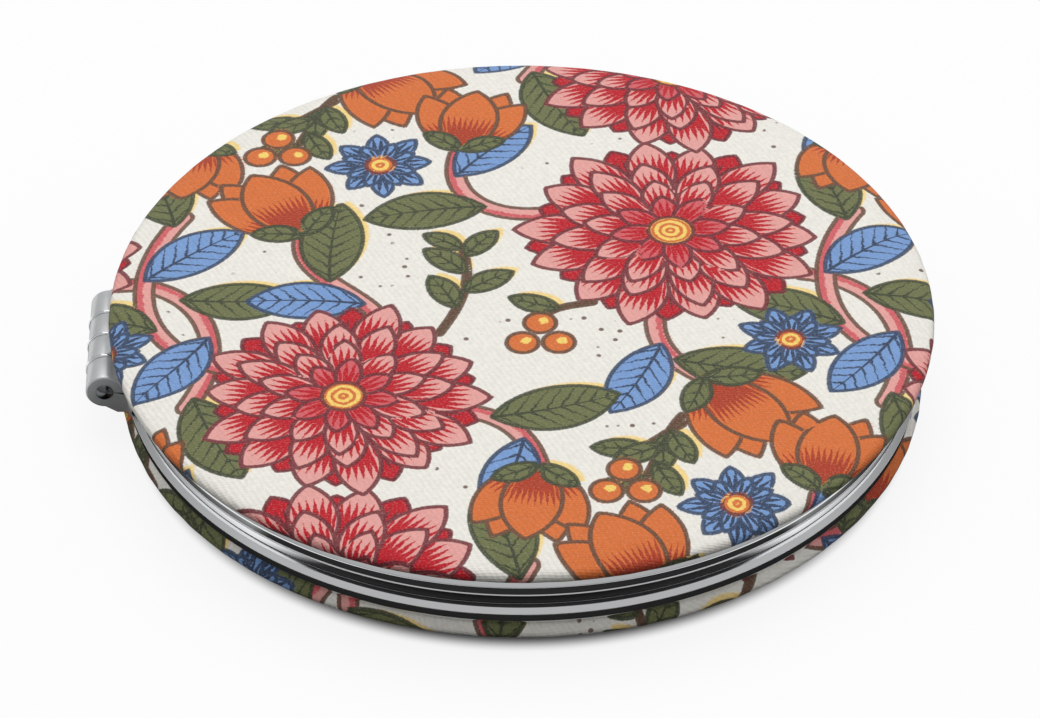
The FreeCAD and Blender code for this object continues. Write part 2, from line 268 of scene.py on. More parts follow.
def carried_round(outline, angles, axis_x=0.0):
    """Each (radius, height) of an outline, carried through angles about an upright axis."""
    radius, height = outline[:, :1], outline[:, 1:]
    return grid_points(axis_x + radius * np.cos(angles), radius * np.sin(angles), height)


def turned(outline, columns):
    """A surface of turning: each (radius, height) of the outline goes once round Z."""
    angles = np.linspace(0, 2 * math.pi, columns, endpoint=False)
    return carried_round(outline, angles), grid_faces(closed_numbers(len(outline), columns))


def turned_on_hinge(outline, columns):
    """A surface of turning about the hinge axis: each (radius, place along Y) goes round."""
    points, faces = turned(outline, columns)
    return points[:, [1, 2, 0]] + np.array([hinge_x, 0, parting]), faces


def joined(parts):
    """Several (points, faces) as one."""
    starts = np.cumsum([0] + [len(points) for points, _ in parts])
    faces = [[number + start for number in face]
             for (_, part_faces), start in zip(parts, starts) for face in part_faces]
    return np.concatenate([points for points, _ in parts]), faces


# Node trees

def fill(tree, sockets, values):
    """Give each named socket a value or a link."""
    for name, value in values.items():
        if isinstance(value, bpy.types.NodeSocket):
            tree.links.new(value, sockets[name])
        else:
            sockets[name].default_value = value


def put(tree, kind, inputs=None, **settings):
    """Add a node, set its settings, and fill its inputs."""
    made = tree.nodes.new(kind)
    for name, value in settings.items():
        setattr(made, name, value)
    fill(tree, made.inputs, inputs or {})
    return made


def calc(tree, operation, *values):
    """A sum on numbers or sockets."""
    return put(tree, "ShaderNodeMath", dict(enumerate(values)), operation=operation).outputs[0]


def mixed(tree, share, first, second, blend="MIX"):
    """Two colours mixed by a share."""
    inputs = {0: share, 6: first, 7: second}
    return put(tree, "ShaderNodeMix", inputs, data_type="RGBA", blend_type=blend).outputs[2]


def ramp(tree, value, low, high, to_low=0.0, to_high=1.0):
    """A value mapped smoothly from one span to another."""
    spans = {"Value": value, "From Min": low, "From Max": high, "To Min": to_low, "To Max": to_high}
    return put(tree, "ShaderNodeMapRange", spans, interpolation_type="SMOOTHSTEP").outputs["Result"]


def noise(tree, vector, scale, detail=2.0):
    """A cloudy value about a half."""
    inputs = {"Vector": vector, "Scale": scale, "Detail": detail}
    return put(tree, "ShaderNodeTexNoise", inputs).outputs["Fac"]


def stretched(tree, vector, factors):
    """A vector scaled along its axes."""
    return put(tree, "ShaderNodeMapping", {"Vector": vector, "Scale": factors}).outputs[0]


def bump(tree, height, distance):
    """The normal of a surface that a height raises by up to a distance."""
    return put(tree, "ShaderNodeBump", {"Height": height, "Distance": distance}).outputs["Normal"]


def attribute(tree, name, output="Vector"):
    """A field that the piece's mesh stores at its points."""
    return put(tree, "ShaderNodeAttribute", attribute_name=name).outputs[output]


def placed(tree, group, **inputs):
    """The outputs of a node group placed in a tree."""
    return put(tree, "ShaderNodeGroup", inputs, node_tree=group).outputs


def split(tree, vector):
    """The three values of a vector."""
    return tuple(put(tree, "ShaderNodeSeparateXYZ", {0: vector}).outputs)


def linear(red, green, blue):
    """A colour written 0 to 255, as a linear one with alpha."""
    shares = np.array([red, green, blue]) / 255
    low, high = shares / 12.92, ((shares + 0.055) / 1.055) ** 2.4
    return (*np.where(shares <= 0.04045, low, high).tolist(), 1.0)


def new_group(name, size, value, *results):
    """A shader node group with a vector, a float named size and floats as results.

    Returns the group and its two inputs.
    """
    group = bpy.data.node_groups.new(name, "ShaderNodeTree")
    group.interface.new_socket("Vector", in_out="INPUT", socket_type="NodeSocketVector")
    made = group.interface.new_socket(size, in_out="INPUT", socket_type="NodeSocketFloat")
    made.default_value = value
    for result in results:
        group.interface.new_socket(result, in_out="OUTPUT", socket_type="NodeSocketFloat")
    given = put(group, "NodeGroupInput").outputs
    return group, given["Vector"], given[size]


def close_group(group, **outputs):
    """Link a group's results to its output sockets."""
    put(group, "NodeGroupOutput", outputs)
    return group


def handling_wear():
    """Fine scratches in two directions and faint smears, for bright and satin metal."""
    group, vector, scale = new_group("handling_wear", "Scale", 900.0, "Scratches", "Smears")
    first = noise(group, stretched(group, vector, (1.0, 0.06, 0.3)), scale, 3.0)
    second = noise(group, stretched(group, vector, (0.07, 1.0, 0.3)), scale, 3.0)
    scratches = calc(group, "MAXIMUM", ramp(group, first, 0.6, 0.8), ramp(group, second, 0.62, 0.8))
    return close_group(group, Scratches=scratches, Smears=noise(group, vector, 140.0, 4.0))


def fibres():
    """Short tangled fibres and specks, for board, paper and open foam."""
    group, vector, scale = new_group("fibres", "Scale", 2000.0, "Fibres", "Specks")
    along = noise(group, stretched(group, vector, (1.0, 0.2, 1.0)), scale, 4.0)
    across = noise(group, stretched(group, vector, (0.2, 1.0, 1.0)), scale, 4.0)
    specks = ramp(group, noise(group, vector, scale, 1.0), 0.66, 0.74)
    return close_group(group, Fibres=calc(group, "MAXIMUM", along, across), Specks=specks)


def weave():
    """A fine twill on cloth coordinates in millimetres: thread relief, and uneven thread tone.

    Relief adds a slanting wave of two threads to a rib of one thread, both on coordinates
    that a slow noise makes wavy. Tone is the value of the thread crossing that a point is on.
    """
    group, vector, pitch = new_group("weave", "Pitch", 0.22, "Relief", "Tone")
    scaling = {0: vector, 3: calc(group, "DIVIDE", 1.0, pitch)}
    threads = put(group, "ShaderNodeVectorMath", scaling, operation="SCALE").outputs[0]
    drift = put(group, "ShaderNodeTexNoise", {"Vector": threads, "Scale": 0.3}).outputs["Color"]
    wavy = put(group, "ShaderNodeVectorMath", {0: drift, 1: threads}, operation="ADD").outputs[0]
    across, along, _ = split(group, wavy)
    slant = calc(group, "MULTIPLY_ADD", along, 0.5, across)
    slant_wave = calc(group, "SINE", calc(group, "MULTIPLY", slant, math.pi))
    rib_wave = calc(group, "SINE", calc(group, "MULTIPLY", along, 2 * math.pi))
    relief = calc(group, "MULTIPLY_ADD", slant_wave, 0.6, calc(group, "MULTIPLY", rib_wave, 0.4))
    crossing = put(group, "ShaderNodeTexVoronoi", {"Vector": wavy, "Scale": 1.0, "Randomness": 0.7})
    tone = put(group, "ShaderNodeSeparateColor", {0: crossing.outputs["Color"]}).outputs[0]
    return close_group(group, Relief=relief, Tone=tone)


WEAR = handling_wear()
FIBRES = fibres()
WEAVE = weave()


# Finishes

def new_material(name, **values):
    """A material with a Principled shader, and its tree and Object coordinates."""
    material = bpy.data.materials.new(name)
    material.use_nodes = True
    tree = material.node_tree
    where = put(tree, "ShaderNodeTexCoord").outputs["Object"]
    feed(tree, **values)
    return material, tree, where


def feed(tree, **values):
    """Give the shader's sockets values or links; underscores stand for blanks in their names."""
    named = {name.replace("_", " "): value for name, value in values.items()}
    fill(tree, tree.nodes["Principled BSDF"].inputs, named)


def worn_metal(name, dull, bright, roughness, spread, scale, depth, metallic=1.0):
    """Metal between two tones, rougher by up to spread where it is scratched or smeared."""
    material, tree, where = new_material(name, Metallic=metallic)
    wear = placed(tree, WEAR, Vector=where, Scale=scale)
    rough = calc(tree, "MULTIPLY_ADD", wear["Scratches"], spread, roughness)
    rough = calc(tree, "MULTIPLY_ADD", wear["Smears"], spread, rough)
    feed(tree, Base_Color=mixed(tree, wear["Smears"], linear(*dull), linear(*bright)),
         Roughness=rough, Normal=bump(tree, wear["Scratches"], depth))
    return material


def fibrous(name, dark, light, scale, depth, roughness):
    """Matte board, paper, film or foam between two tones, with fibres and specks."""
    material, tree, where = new_material(name, Roughness=roughness)
    grain = placed(tree, FIBRES, Vector=where, Scale=scale)
    colour = mixed(tree, grain["Fibres"], linear(*dark), linear(*light))
    feed(tree, Base_Color=mixed(tree, grain["Specks"], colour, linear(*dark)),
         Normal=bump(tree, grain["Fibres"], depth))
    return material


def silvered_glass():
    """Mirror glass: silver over its flat faces with faint smears, and pale green at its rim."""
    material, tree, where = new_material("silvered_glass")
    facing = put(tree, "ShaderNodeTexCoord").outputs["Normal"]
    upright = calc(tree, "ABSOLUTE", split(tree, facing)[2])
    silvering = ramp(tree, upright, 0.5, 0.7)
    wear = placed(tree, WEAR, Vector=where, Scale=500.0)
    silver = mixed(tree, wear["Smears"], linear(234, 238, 237), linear(244, 247, 246))
    rough = ramp(tree, wear["Smears"], 0.45, 0.75, 0.004, 0.03)
    feed(tree, Base_Color=mixed(tree, silvering, linear(150, 186, 168), silver), Metallic=silvering,
         Roughness=rough)
    return material


# Noises of the print: scale per millimetre, and detail
HATCH_WOBBLE = (1.3, 3.0)
INK_GRAIN = (4.5, 2.0)
DOT_GROUPS = (0.16, 1.0)
BALD_SPECKS = (6.0, 2.0)
# How far the ink's grain moves its edges, and the spans over which they fade
LEVEL_GRAIN, LEVEL_EDGE = 1.4, (-0.25, 0.25)
LINE_GRAIN, LINE_EDGE = 0.7, (0.75, 1.25)
GHOST_GRAIN, GHOST_EDGE = 0.5, (-0.2, 0.1)
DOT_EDGE = (0.14, 0.22)
DOT_GROUP_EDGE = (0.5, 0.54)
DOT_CLEARANCE = (0.7, 0.9)
BALD_EDGE = (0.48, 0.75)
# How fully the ink of shadows, outlines and dots covers, and how far specks lack it
GHOST_INK = 0.8
LINE_INK = 0.92
DOT_INK = 0.9
BALD_SHARE = 0.12
# Threads: pitch in millimetres, darkest and lightest, and what their relief does to tone and normal; the
# tone is painted shade, darker in the furrows and lighter on the crowns
THREAD_PITCH = 0.26
THREAD_TONES = (0.96, 1.03)
RELIEF_PAINTED_SHADE = 0.035
RELIEF_DEPTH = 2e-5


def printed_cloth():
    """The printed twill: inks, hatching, outlines and dots from the print's fields, on thread."""
    material, tree, _ = new_material("printed_cloth", Roughness=0.8, Specular_IOR_Level=0.25,
                                     Sheen_Weight=0.12, Sheen_Roughness=0.5)
    cloth = attribute(tree, "cloth")
    edges = split(tree, attribute(tree, "edges")) + split(tree, attribute(tree, "further_edges"))
    hatch, level, bare = split(tree, attribute(tree, "hatching"))
    rib, ghost = attribute(tree, "rib", "Fac"), attribute(tree, "ghost", "Fac")
    wobble = calc(tree, "SUBTRACT", noise(tree, cloth, *HATCH_WOBBLE), 0.5)
    grain = calc(tree, "SUBTRACT", noise(tree, cloth, *INK_GRAIN), 0.5)
    # Hatching: a zigzag from -1 to 1, shaded where it and the level add up to more than nothing
    teeth = calc(tree, "PINGPONG", calc(tree, "MULTIPLY_ADD", wobble, 0.5, hatch), 0.5)
    teeth = calc(tree, "MULTIPLY_ADD", teeth, 4.0, -1.0)
    level = calc(tree, "ADD", calc(tree, "MULTIPLY_ADD", grain, LEVEL_GRAIN, level), teeth)
    rib = calc(tree, "MULTIPLY_ADD", grain, LINE_GRAIN, calc(tree, "ABSOLUTE", rib))
    ribbed = ramp(tree, rib, *LINE_EDGE, 1.0, 0.0)
    shaded = calc(tree, "MAXIMUM", ramp(tree, level, *LEVEL_EDGE), ribbed)
    colour = mixed(tree, shaded, attribute(tree, "ink", "Color"), attribute(tree, "shade", "Color"))
    # Yellow shadows beside leaves, on the bare ground alone
    ghost = calc(tree, "MULTIPLY_ADD", grain, GHOST_GRAIN, ghost)
    shadow = ramp(tree, ghost, *GHOST_EDGE, GHOST_INK, 0.0)
    shadow = calc(tree, "MULTIPLY", shadow, ramp(tree, bare, 0.0, 0.1))
    colour = mixed(tree, shadow, colour, linear(*INKS["yellow"]))
    # Outlines, where the nearest edge is within half their width
    line = FAR
    for edge in edges:
        line = calc(tree, "MINIMUM", calc(tree, "ABSOLUTE", edge), line)
    line = calc(tree, "MULTIPLY_ADD", grain, LINE_GRAIN, line)
    lined = ramp(tree, line, *LINE_EDGE, LINE_INK, 0.0)
    colour = mixed(tree, lined, colour, attribute(tree, "outline", "Color"))
    # Groups of dots on the bare ground
    spots = put(tree, "ShaderNodeTexVoronoi", {"Vector": cloth, "Scale": 0.8, "Randomness": 0.55})
    dots = ramp(tree, spots.outputs["Distance"], *DOT_EDGE, DOT_INK, 0.0)
    groups = ramp(tree, noise(tree, cloth, *DOT_GROUPS), *DOT_GROUP_EDGE)
    dots = calc(tree, "MULTIPLY", calc(tree, "MULTIPLY", dots, groups), ramp(tree, bare, *DOT_CLEARANCE))
    colour = mixed(tree, dots, colour, linear(*INKS["brown"]))
    # Specks where the ink is thin, and the threads
    bald = ramp(tree, noise(tree, cloth, *BALD_SPECKS), *BALD_EDGE, 0.0, BALD_SHARE)
    colour = mixed(tree, bald, colour, linear(*INKS["ground"]))
    thread = placed(tree, WEAVE, Vector=cloth, Pitch=THREAD_PITCH)
    tone = ramp(tree, thread["Tone"], 0.0, 1.0, *THREAD_TONES)
    # Painted shade: the relief darkens the threads' furrows and lightens their crowns
    tone = calc(tree, "MULTIPLY_ADD", thread["Relief"], RELIEF_PAINTED_SHADE, tone)
    grey = put(tree, "ShaderNodeCombineColor", {0: tone, 1: tone, 2: tone}).outputs[0]
    feed(tree, Base_Color=mixed(tree, 1.0, colour, grey, "MULTIPLY"),
         Normal=bump(tree, thread["Relief"], RELIEF_DEPTH))
    return material


# The print, in millimetres on the flat cloth. Each motif is stamped over those before it.

INKS = {
    "ground": (241, 238, 230),
    "pink": (233, 166, 160),
    "rose": (214, 98, 104),
    "red": (192, 18, 36),
    "maroon": (112, 38, 48),
    "green": (112, 117, 75),
    "dark_green": (66, 72, 50),
    "blue": (122, 159, 212),
    "navy": (54, 70, 98),
    "orange": (220, 116, 56),
    "rust": (178, 62, 34),
    "brown": (102, 74, 56),
    "yellow": (250, 214, 112),
}
INK_VALUES = {name: np.array(linear(*tone)) for name, tone in INKS.items()}
REPEAT = np.array([[58.0, 0.0], [29.0, 46.0]])
REPEAT_SPAN = 4
FAR = 200.0
EDGE_CHANNELS = 6
EDGE_MARGIN = 3.0
RIB_MARGIN = 1.0
OUTLINE_WIDTH = 0.4
INK_SPREAD = 0.08
MOTIF_REACH = 1.3
NO_TEETH = 0.25
PETAL_TEETH = 0.8
PETAL_RIM = 0.35
FLOWER_CORE = 0.66
TULIP_CORE = 0.45
CORE_SLOPE = 3
FAN_FOOT = 0.3
PETAL_SWAY = 0.05
SWAY_STEP, SWAY_RING_STEP = 2.4, 1.7
PETAL_TWIST = 4
TWIST_STEP = 3.1
EYE_RINGS = 1.6
EYE_LEVEL = -0.1
SEPAL_TURNS = (58, -58)
SEPAL_SHARE = 0.42
VEIN_PITCH = 1.3
VEIN_SLANT = 0.9
VEIN_LEVEL = -0.45
VEIN_FADE = 0.5
MIDRIB_WIDTH = 0.34
MIDRIB_TAPER = 0.8
STEM_MARGIN = 1.6
STEM_POINTS = 60
STEM_SHADE_START = 0.1
STEM_SHADE_SLOPE = 3

# Rings of petals from the back: tip, foot and half width as shares of the radius, and count
DAHLIA_RINGS = [
    (0.93, 0.40, 0.150, 14, ("red", "maroon", "maroon")),
    (1.00, 0.38, 0.160, 14, ("pink", "red", "maroon")),
    (0.79, 0.26, 0.135, 12, ("pink", "red", "maroon")),
    (0.59, 0.16, 0.115, 10, ("pink", "red", "maroon")),
    (0.40, 0.06, 0.090, 8, ("rose", "red", "maroon")),
]
ASTER_RINGS = [
    (1.00, 0.15, 0.21, 8, ("blue", "navy", "navy")),
    (0.72, 0.10, 0.16, 8, ("blue", "navy", "navy")),
]
# Many-petalled flowers: place, radius, heading, rings of petals, and the eye's share of the radius
FLOWERS = [
    ((13.0, 9.0), 13.0, 10.0, DAHLIA_RINGS, 0.15),
    ((-15.0, -13.0), 12.0, 35.0, DAHLIA_RINGS, 0.15),
    ((-12.0, 19.0), 4.6, 5.0, ASTER_RINGS, 0.27),
    ((22.5, -6.0), 4.4, 20.0, ASTER_RINGS, 0.27),
]
# Cup-shaped flowers: foot of the cup, heading and length
TULIPS = [((-18.5, 9.0), 118.0, 11.0), ((-5.0, 21.0), 80.0, 10.0),
          ((15.0, -11.0), -52.0, 11.5), ((1.0, -22.0), -98.0, 10.0)]
# Their petals: turn from the heading, and length and half width as shares of the length
TULIP_PETALS = [(16, 0.96, 0.2), (-16, 0.96, 0.2), (30, 0.9, 0.2), (-30, 0.9, 0.2), (0, 0.92, 0.25)]
# Stems: width, inks, four points of a curve, and leaves as (share along, side, length, inks)
GREEN_LEAF = ("green", "dark_green", "dark_green")
BLUE_LEAF = ("blue", "navy", "navy")
PINK_STEM = (1.6, ("pink", "rose", "brown"))
TWIG = (0.55, ("brown", "brown", "brown"))
STEMS = [
    (PINK_STEM, [(-12, -6), (-10, 0), (-20, 2), (-18.5, 9)],
     [(0.35, 1, 10.0, BLUE_LEAF), (0.6, -1, 11.0, GREEN_LEAF)]),
    (PINK_STEM, [(4, 12), (-2, 10), (-7, 14), (-5, 21)],
     [(0.45, 1, 10.5, GREEN_LEAF), (0.8, -1, 10.0, BLUE_LEAF)]),
    (PINK_STEM, [(12, 0), (10, -5), (12, -9), (15, -11)],
     [(0.5, -1, 10.0, BLUE_LEAF), (0.7, 1, 11.0, GREEN_LEAF)]),
    (PINK_STEM, [(-7, -15), (-3, -15), (0, -17), (1, -22)],
     [(0.4, 1, 11.0, GREEN_LEAF), (0.75, -1, 9.5, BLUE_LEAF)]),
    (PINK_STEM, [(24, 3), (31, 2), (34, -6), (30, -14)],
     [(0.3, 1, 10.0, GREEN_LEAF), (0.6, -1, 10.0, BLUE_LEAF), (0.95, 1, 11.0, GREEN_LEAF)]),
    (PINK_STEM, [(-25, -9), (-33, -6), (-34, 4), (-29, 12)],
     [(0.35, 1, 10.0, GREEN_LEAF), (0.65, -1, 10.5, BLUE_LEAF), (0.95, 1, 10.5, GREEN_LEAF)]),
    (TWIG, [(-7, -5), (-5, -1), (-4, 2), (-5, 7)],
     [(0.3, 1, 5.0, GREEN_LEAF), (0.5, -1, 5.0, GREEN_LEAF), (0.72, 1, 5.0, GREEN_LEAF),
      (0.9, -1, 4.5, GREEN_LEAF), (0.97, 1, 4.0, GREEN_LEAF)]),
    (TWIG, [(-16, 30), (-18, 27), (-18, 24), (-20, 21)],
     [(0.2, 1, 4.5, GREEN_LEAF), (0.4, -1, 4.5, GREEN_LEAF), (0.65, 1, 4.5, GREEN_LEAF),
      (0.85, -1, 4.0, GREEN_LEAF)]),
    (TWIG, [(13, -17), (11, -19), (9, -20), (8, -23)],
     [(0.25, 1, 4.5, GREEN_LEAF), (0.55, -1, 4.5, GREEN_LEAF)]),
    (TWIG, [(6, -1), (4, -1.5), (2, -1.5), (1.5, -4)], [(0.5, -1, 4.5, GREEN_LEAF)]),
]
LEAF_WIDTH_SHARE = 0.24
LEAF_BEND_SHARE = 0.12
LEAF_SPREAD = 46.0
LEAF_STEP = 0.02
GHOST_SHIFT = np.array([0.6, 0.5])
# Berries: middles of clusters of three, and the paler spot on each
BERRIES = [(1.5, -5.5), (8.0, -24.5)]
BERRY_TURNS = (90, 210, 330)
BERRY_RADIUS = 1.35
BERRY_REACH = 3
BERRY_SPREAD = 1.75
SPOT_TURN = 45.0
SPOT_SHIFT = 0.4
SPOT_RADIUS = 0.45
SPOT_SLOPE = 4


def heading_vector(degrees):
    """The unit vector of a heading in degrees."""
    return directions(math.radians(degrees))


def blank_print(cloth):
    """The fields of a print before any motif: bare ground at every point of the cloth.

    Each channel of the edges is a distance to outlines that don't touch, in half outline widths,
    and changes sign at them.
    """
    count = len(cloth)
    sheet = {name: np.tile(INK_VALUES["ground"], (count, 1)) for name in ("ink", "shade", "outline")}
    sheet.update({name: np.full(count, FAR) for name in ("nearest", "rib", "ghost", "bare")})
    sheet.update(cloth=cloth, edges=np.full((count, EDGE_CHANNELS), FAR),
                 hatch=np.full(count, NO_TEETH), level=np.full(count, -FAR))
    return sheet


def motif_points(sheet, place, heading, reach):
    """The points within reach of a place, with their distances along and across a heading."""
    offset = sheet["cloth"] - place
    near = np.flatnonzero((offset ** 2).sum(axis=1) < reach ** 2)
    forward = heading_vector(heading)
    sideways = np.array([-forward[1], forward[0]])
    return near, offset[near] @ forward, offset[near] @ sideways


def stamp(sheet, near, edge, inks, hatch, level):
    """Stamp a motif whose signed distance is edge: its inks inside, and its outline round it.

    The inks spread a little way under the outline, so that no ground shows within it. The
    outline goes to the channel, and with the sign, that clash with earlier motifs at the fewest
    points beside it. Inside the motif, what was there before keeps only its sign.
    """
    inside = edge < 0
    rows = near[inside]
    for field, ink in zip(("ink", "shade"), inks):
        sheet[field][near[edge < INK_SPREAD]] = INK_VALUES[ink]
    for field, values in (("hatch", hatch), ("level", level)):
        sheet[field][rows] = np.broadcast_to(values, edge.shape)[inside]
    for field in ("rib", "edges"):
        sheet[field][rows] = np.copysign(FAR, sheet[field][rows])
    widths = edge / (OUTLINE_WIDTH / 2)
    beside = sheet["edges"][near[(widths >= 0) & (widths < EDGE_MARGIN)]]
    clashes = np.array([(beside < EDGE_MARGIN).sum(axis=0), (beside > -EDGE_MARGIN).sum(axis=0)])
    flipped, channel = np.unravel_index(clashes.argmin(), clashes.shape)
    sign = 1 - 2 * flipped
    earlier = np.where(inside, FAR, sign * sheet["edges"][near, channel])
    sheet["edges"][near, channel] = sign * np.minimum(earlier, widths)
    drawn = inside | (widths < sheet["nearest"][near])
    sheet["nearest"][near[drawn]] = np.abs(widths[drawn])
    sheet["outline"][near[drawn]] = INK_VALUES[inks[2]]
    sheet["bare"][near] = np.minimum(sheet["bare"][near], edge)


def petal_edge(along, across, length, half_width):
    """Signed distance to a pointed petal: the overlap of two equal circles through its ends."""
    arc = (length ** 2 / 4 + half_width ** 2) / (2 * half_width)
    return np.hypot(along - length / 2, np.abs(across) + arc - half_width) - arc


def stamp_petal(sheet, place, heading, length, half_width, inks, core_share):
    """A petal with a darker core that ends in teeth along core_share of its length."""
    near, along, across = motif_points(sheet, place, heading, length * MOTIF_REACH)
    edge = petal_edge(along, across, length, half_width)
    fan = FAN_FOOT + (1 - FAN_FOOT) * np.clip(along / length, 0, 1)
    core = np.minimum(core_share * length - along, CORE_SLOPE * (-edge - PETAL_RIM))
    stamp(sheet, near, edge, inks, across / (PETAL_TEETH * fan), core)


def stamp_flower(sheet, place, radius, heading, rings, eye_share):
    """Rings of petals from the back to the front, each turned half a petal from the last.

    Sines of the petal's and the ring's numbers make lengths and headings uneven.
    """
    for ring, (tip, foot, half_width, count, inks) in enumerate(rings):
        for number in range(count):
            angle = heading + 360 * (number + ring / 2) / count
            sway = 1 + PETAL_SWAY * math.sin(SWAY_STEP * number + SWAY_RING_STEP * ring + heading)
            twist = PETAL_TWIST * math.sin(TWIST_STEP * number + ring)
            start = place + heading_vector(angle) * foot * radius
            length = (tip * sway - foot) * radius
            stamp_petal(sheet, start, angle + twist, length, half_width * radius, inks, FLOWER_CORE)
    near, along, across = motif_points(sheet, place, heading, radius)
    spread = np.hypot(along, across)
    stamp(sheet, near, spread - eye_share * radius, ("yellow", "orange", "maroon"),
          spread * EYE_RINGS, EYE_LEVEL)


def stamp_tulip(sheet, place, heading, length):
    """A cup of five petals: two behind, two at the sides and one in front, with two sepals."""
    for turn, length_share, width_share in TULIP_PETALS:
        stamp_petal(sheet, place, heading + turn, length * length_share, length * width_share,
                    ("orange", "rust", "brown"), TULIP_CORE)
    for turn in SEPAL_TURNS:
        stamp_leaf(sheet, place, heading + turn, length * SEPAL_SHARE, turn, GREEN_LEAF)


def leaf_shape(sheet, place, heading, length, side):
    """Points near a leaf, along and across its bent midrib, and its signed distance."""
    near, along, across = motif_points(sheet, place, heading, length * MOTIF_REACH)
    bend = math.copysign(LEAF_BEND_SHARE, side)
    across = across + bend * along * (length - along) / length
    return near, along, across, petal_edge(along, across, length, length * LEAF_WIDTH_SHARE)


def stamp_leaf(sheet, place, heading, length, side, inks):
    """A pointed leaf with midrib and veins, that bends towards its side, on a yellow shadow.

    The rib field is the distance across the midrib, and on the bare ground beside the leaf it
    keeps its sign.
    """
    near, _, _, edge = leaf_shape(sheet, place + GHOST_SHIFT, heading, length, side)
    sheet["ghost"][near] = np.minimum(sheet["ghost"][near], edge)
    near, along, across, edge = leaf_shape(sheet, place, heading, length, side)
    veins = VEIN_LEVEL - VEIN_FADE * np.abs(across) / (length * LEAF_WIDTH_SHARE)
    stamp(sheet, near, edge, inks, (along - VEIN_SLANT * np.abs(across)) / VEIN_PITCH, veins)
    taper = 1 - MIDRIB_TAPER * np.clip(along / length, 0, 1)
    rib = np.where(edge < 0, across / (MIDRIB_WIDTH / 2) / taper, np.copysign(FAR, across))
    marked = (edge < 0) | ((edge < RIB_MARGIN) & (sheet["bare"][near] > 0))
    sheet["rib"][near[marked]] = rib[marked]


def curve_points(controls, shares):
    """Points of the cubic curve on four control points."""
    share = np.asarray(shares, float)[:, None]
    weights = [(1 - share) ** 3, 3 * share * (1 - share) ** 2, 3 * share ** 2 * (1 - share), share ** 3]
    return sum(weight * np.array(control, float) for weight, control in zip(weights, controls))


def stamp_stem(sheet, controls, width, inks):
    """A stem along a curve: the distance to the nearest of its points less half its width."""
    path = curve_points(controls, np.linspace(0, 1, STEM_POINTS))
    middle = path.mean(axis=0)
    reach = np.linalg.norm(path - middle, axis=1).max() + STEM_MARGIN
    near, along, across = motif_points(sheet, middle, 0.0, reach)
    offsets = np.stack([along, across], axis=1)[:, None] - (path - middle)[None]
    distances = np.linalg.norm(offsets, axis=2)
    nearest = distances.argmin(axis=1)
    rows = np.arange(len(near))
    ahead = np.gradient(path, axis=0)[nearest]
    lean = ahead[:, 0] * offsets[rows, nearest, 1] - ahead[:, 1] * offsets[rows, nearest, 0]
    side = np.sign(lean) * distances[rows, nearest]
    shade = (side - STEM_SHADE_START) * STEM_SHADE_SLOPE
    stamp(sheet, near, distances.min(axis=1) - width / 2, inks, NO_TEETH, shade)


def stamp_berries(sheet, place):
    """Three round berries, each with a paler spot."""
    for turn in BERRY_TURNS:
        middle = place + heading_vector(turn) * BERRY_SPREAD
        near, along, across = motif_points(sheet, middle, SPOT_TURN, BERRY_RADIUS * BERRY_REACH)
        spot = (SPOT_RADIUS - np.hypot(along - SPOT_SHIFT, across)) * SPOT_SLOPE
        stamp(sheet, near, np.hypot(along, across) - BERRY_RADIUS, ("orange", "yellow", "brown"),
              NO_TEETH, spot)


def draw_print(cloth, reach):
    """All fields of the print on points of the cloth: stems, leaves, cups, berries, flowers."""
    sheet = blank_print(cloth)
    middle = cloth.mean(axis=0)
    spans = np.arange(-REPEAT_SPAN, REPEAT_SPAN + 1)
    shifts = np.array([[i, j] for i in spans for j in spans]) @ REPEAT
    shifts = shifts[np.linalg.norm(shifts - middle, axis=1) < reach + np.abs(REPEAT).max()]
    for shift in shifts:
        for (width, inks), controls, _ in STEMS:
            stamp_stem(sheet, np.array(controls, float) + shift, width, inks)
    for shift in shifts:
        for _, controls, leaves in STEMS:
            for share, side, length, inks in leaves:
                foot, ahead = curve_points(controls, [share, share + LEAF_STEP])
                heading = math.degrees(math.atan2(*(ahead - foot)[::-1])) + side * LEAF_SPREAD
                stamp_leaf(sheet, foot + shift, heading, length, side, inks)
    for shift in shifts:
        for place, heading, length in TULIPS:
            stamp_tulip(sheet, place + shift, heading, length)
        for place in BERRIES:
            stamp_berries(sheet, place + shift)
    for shift in shifts:
        for place, *shape in FLOWERS:
            stamp_flower(sheet, place + shift, *shape)
    return sheet


# Padded covers

CROWN_STEPS = 90
SHOULDER_STEPS = 40
EDGE_STEPS = 30
LINING_ROWS = [150, 130, 110, 91, 70, 45, 20]
COVER_HALF_GRID = 142
GATHER_DEPTH = 0.035
GATHER_FADE = 0.6
# Waves round the rim: size and count, and size and count of the wave that makes them uneven
GATHER_WAVES = [(1.0, 47, 2, 5), (0.6, 83, 3, 3)]
# Slow waves of the cloth: depth, height where they start, lengths along X, Y and aslant, and shift
UNEVENNESS = 0.012
UNEVEN_ABOVE = 4.0
WAVE_X, WAVE_Y, WAVE_ASLANT = 3.1, 3.7, 5.3
WAVE_SHIFT = 1.0
FIELD_KINDS = {1: ("FLOAT", "value"), 3: ("FLOAT_VECTOR", "vector"), 4: ("FLOAT_COLOR", "color")}


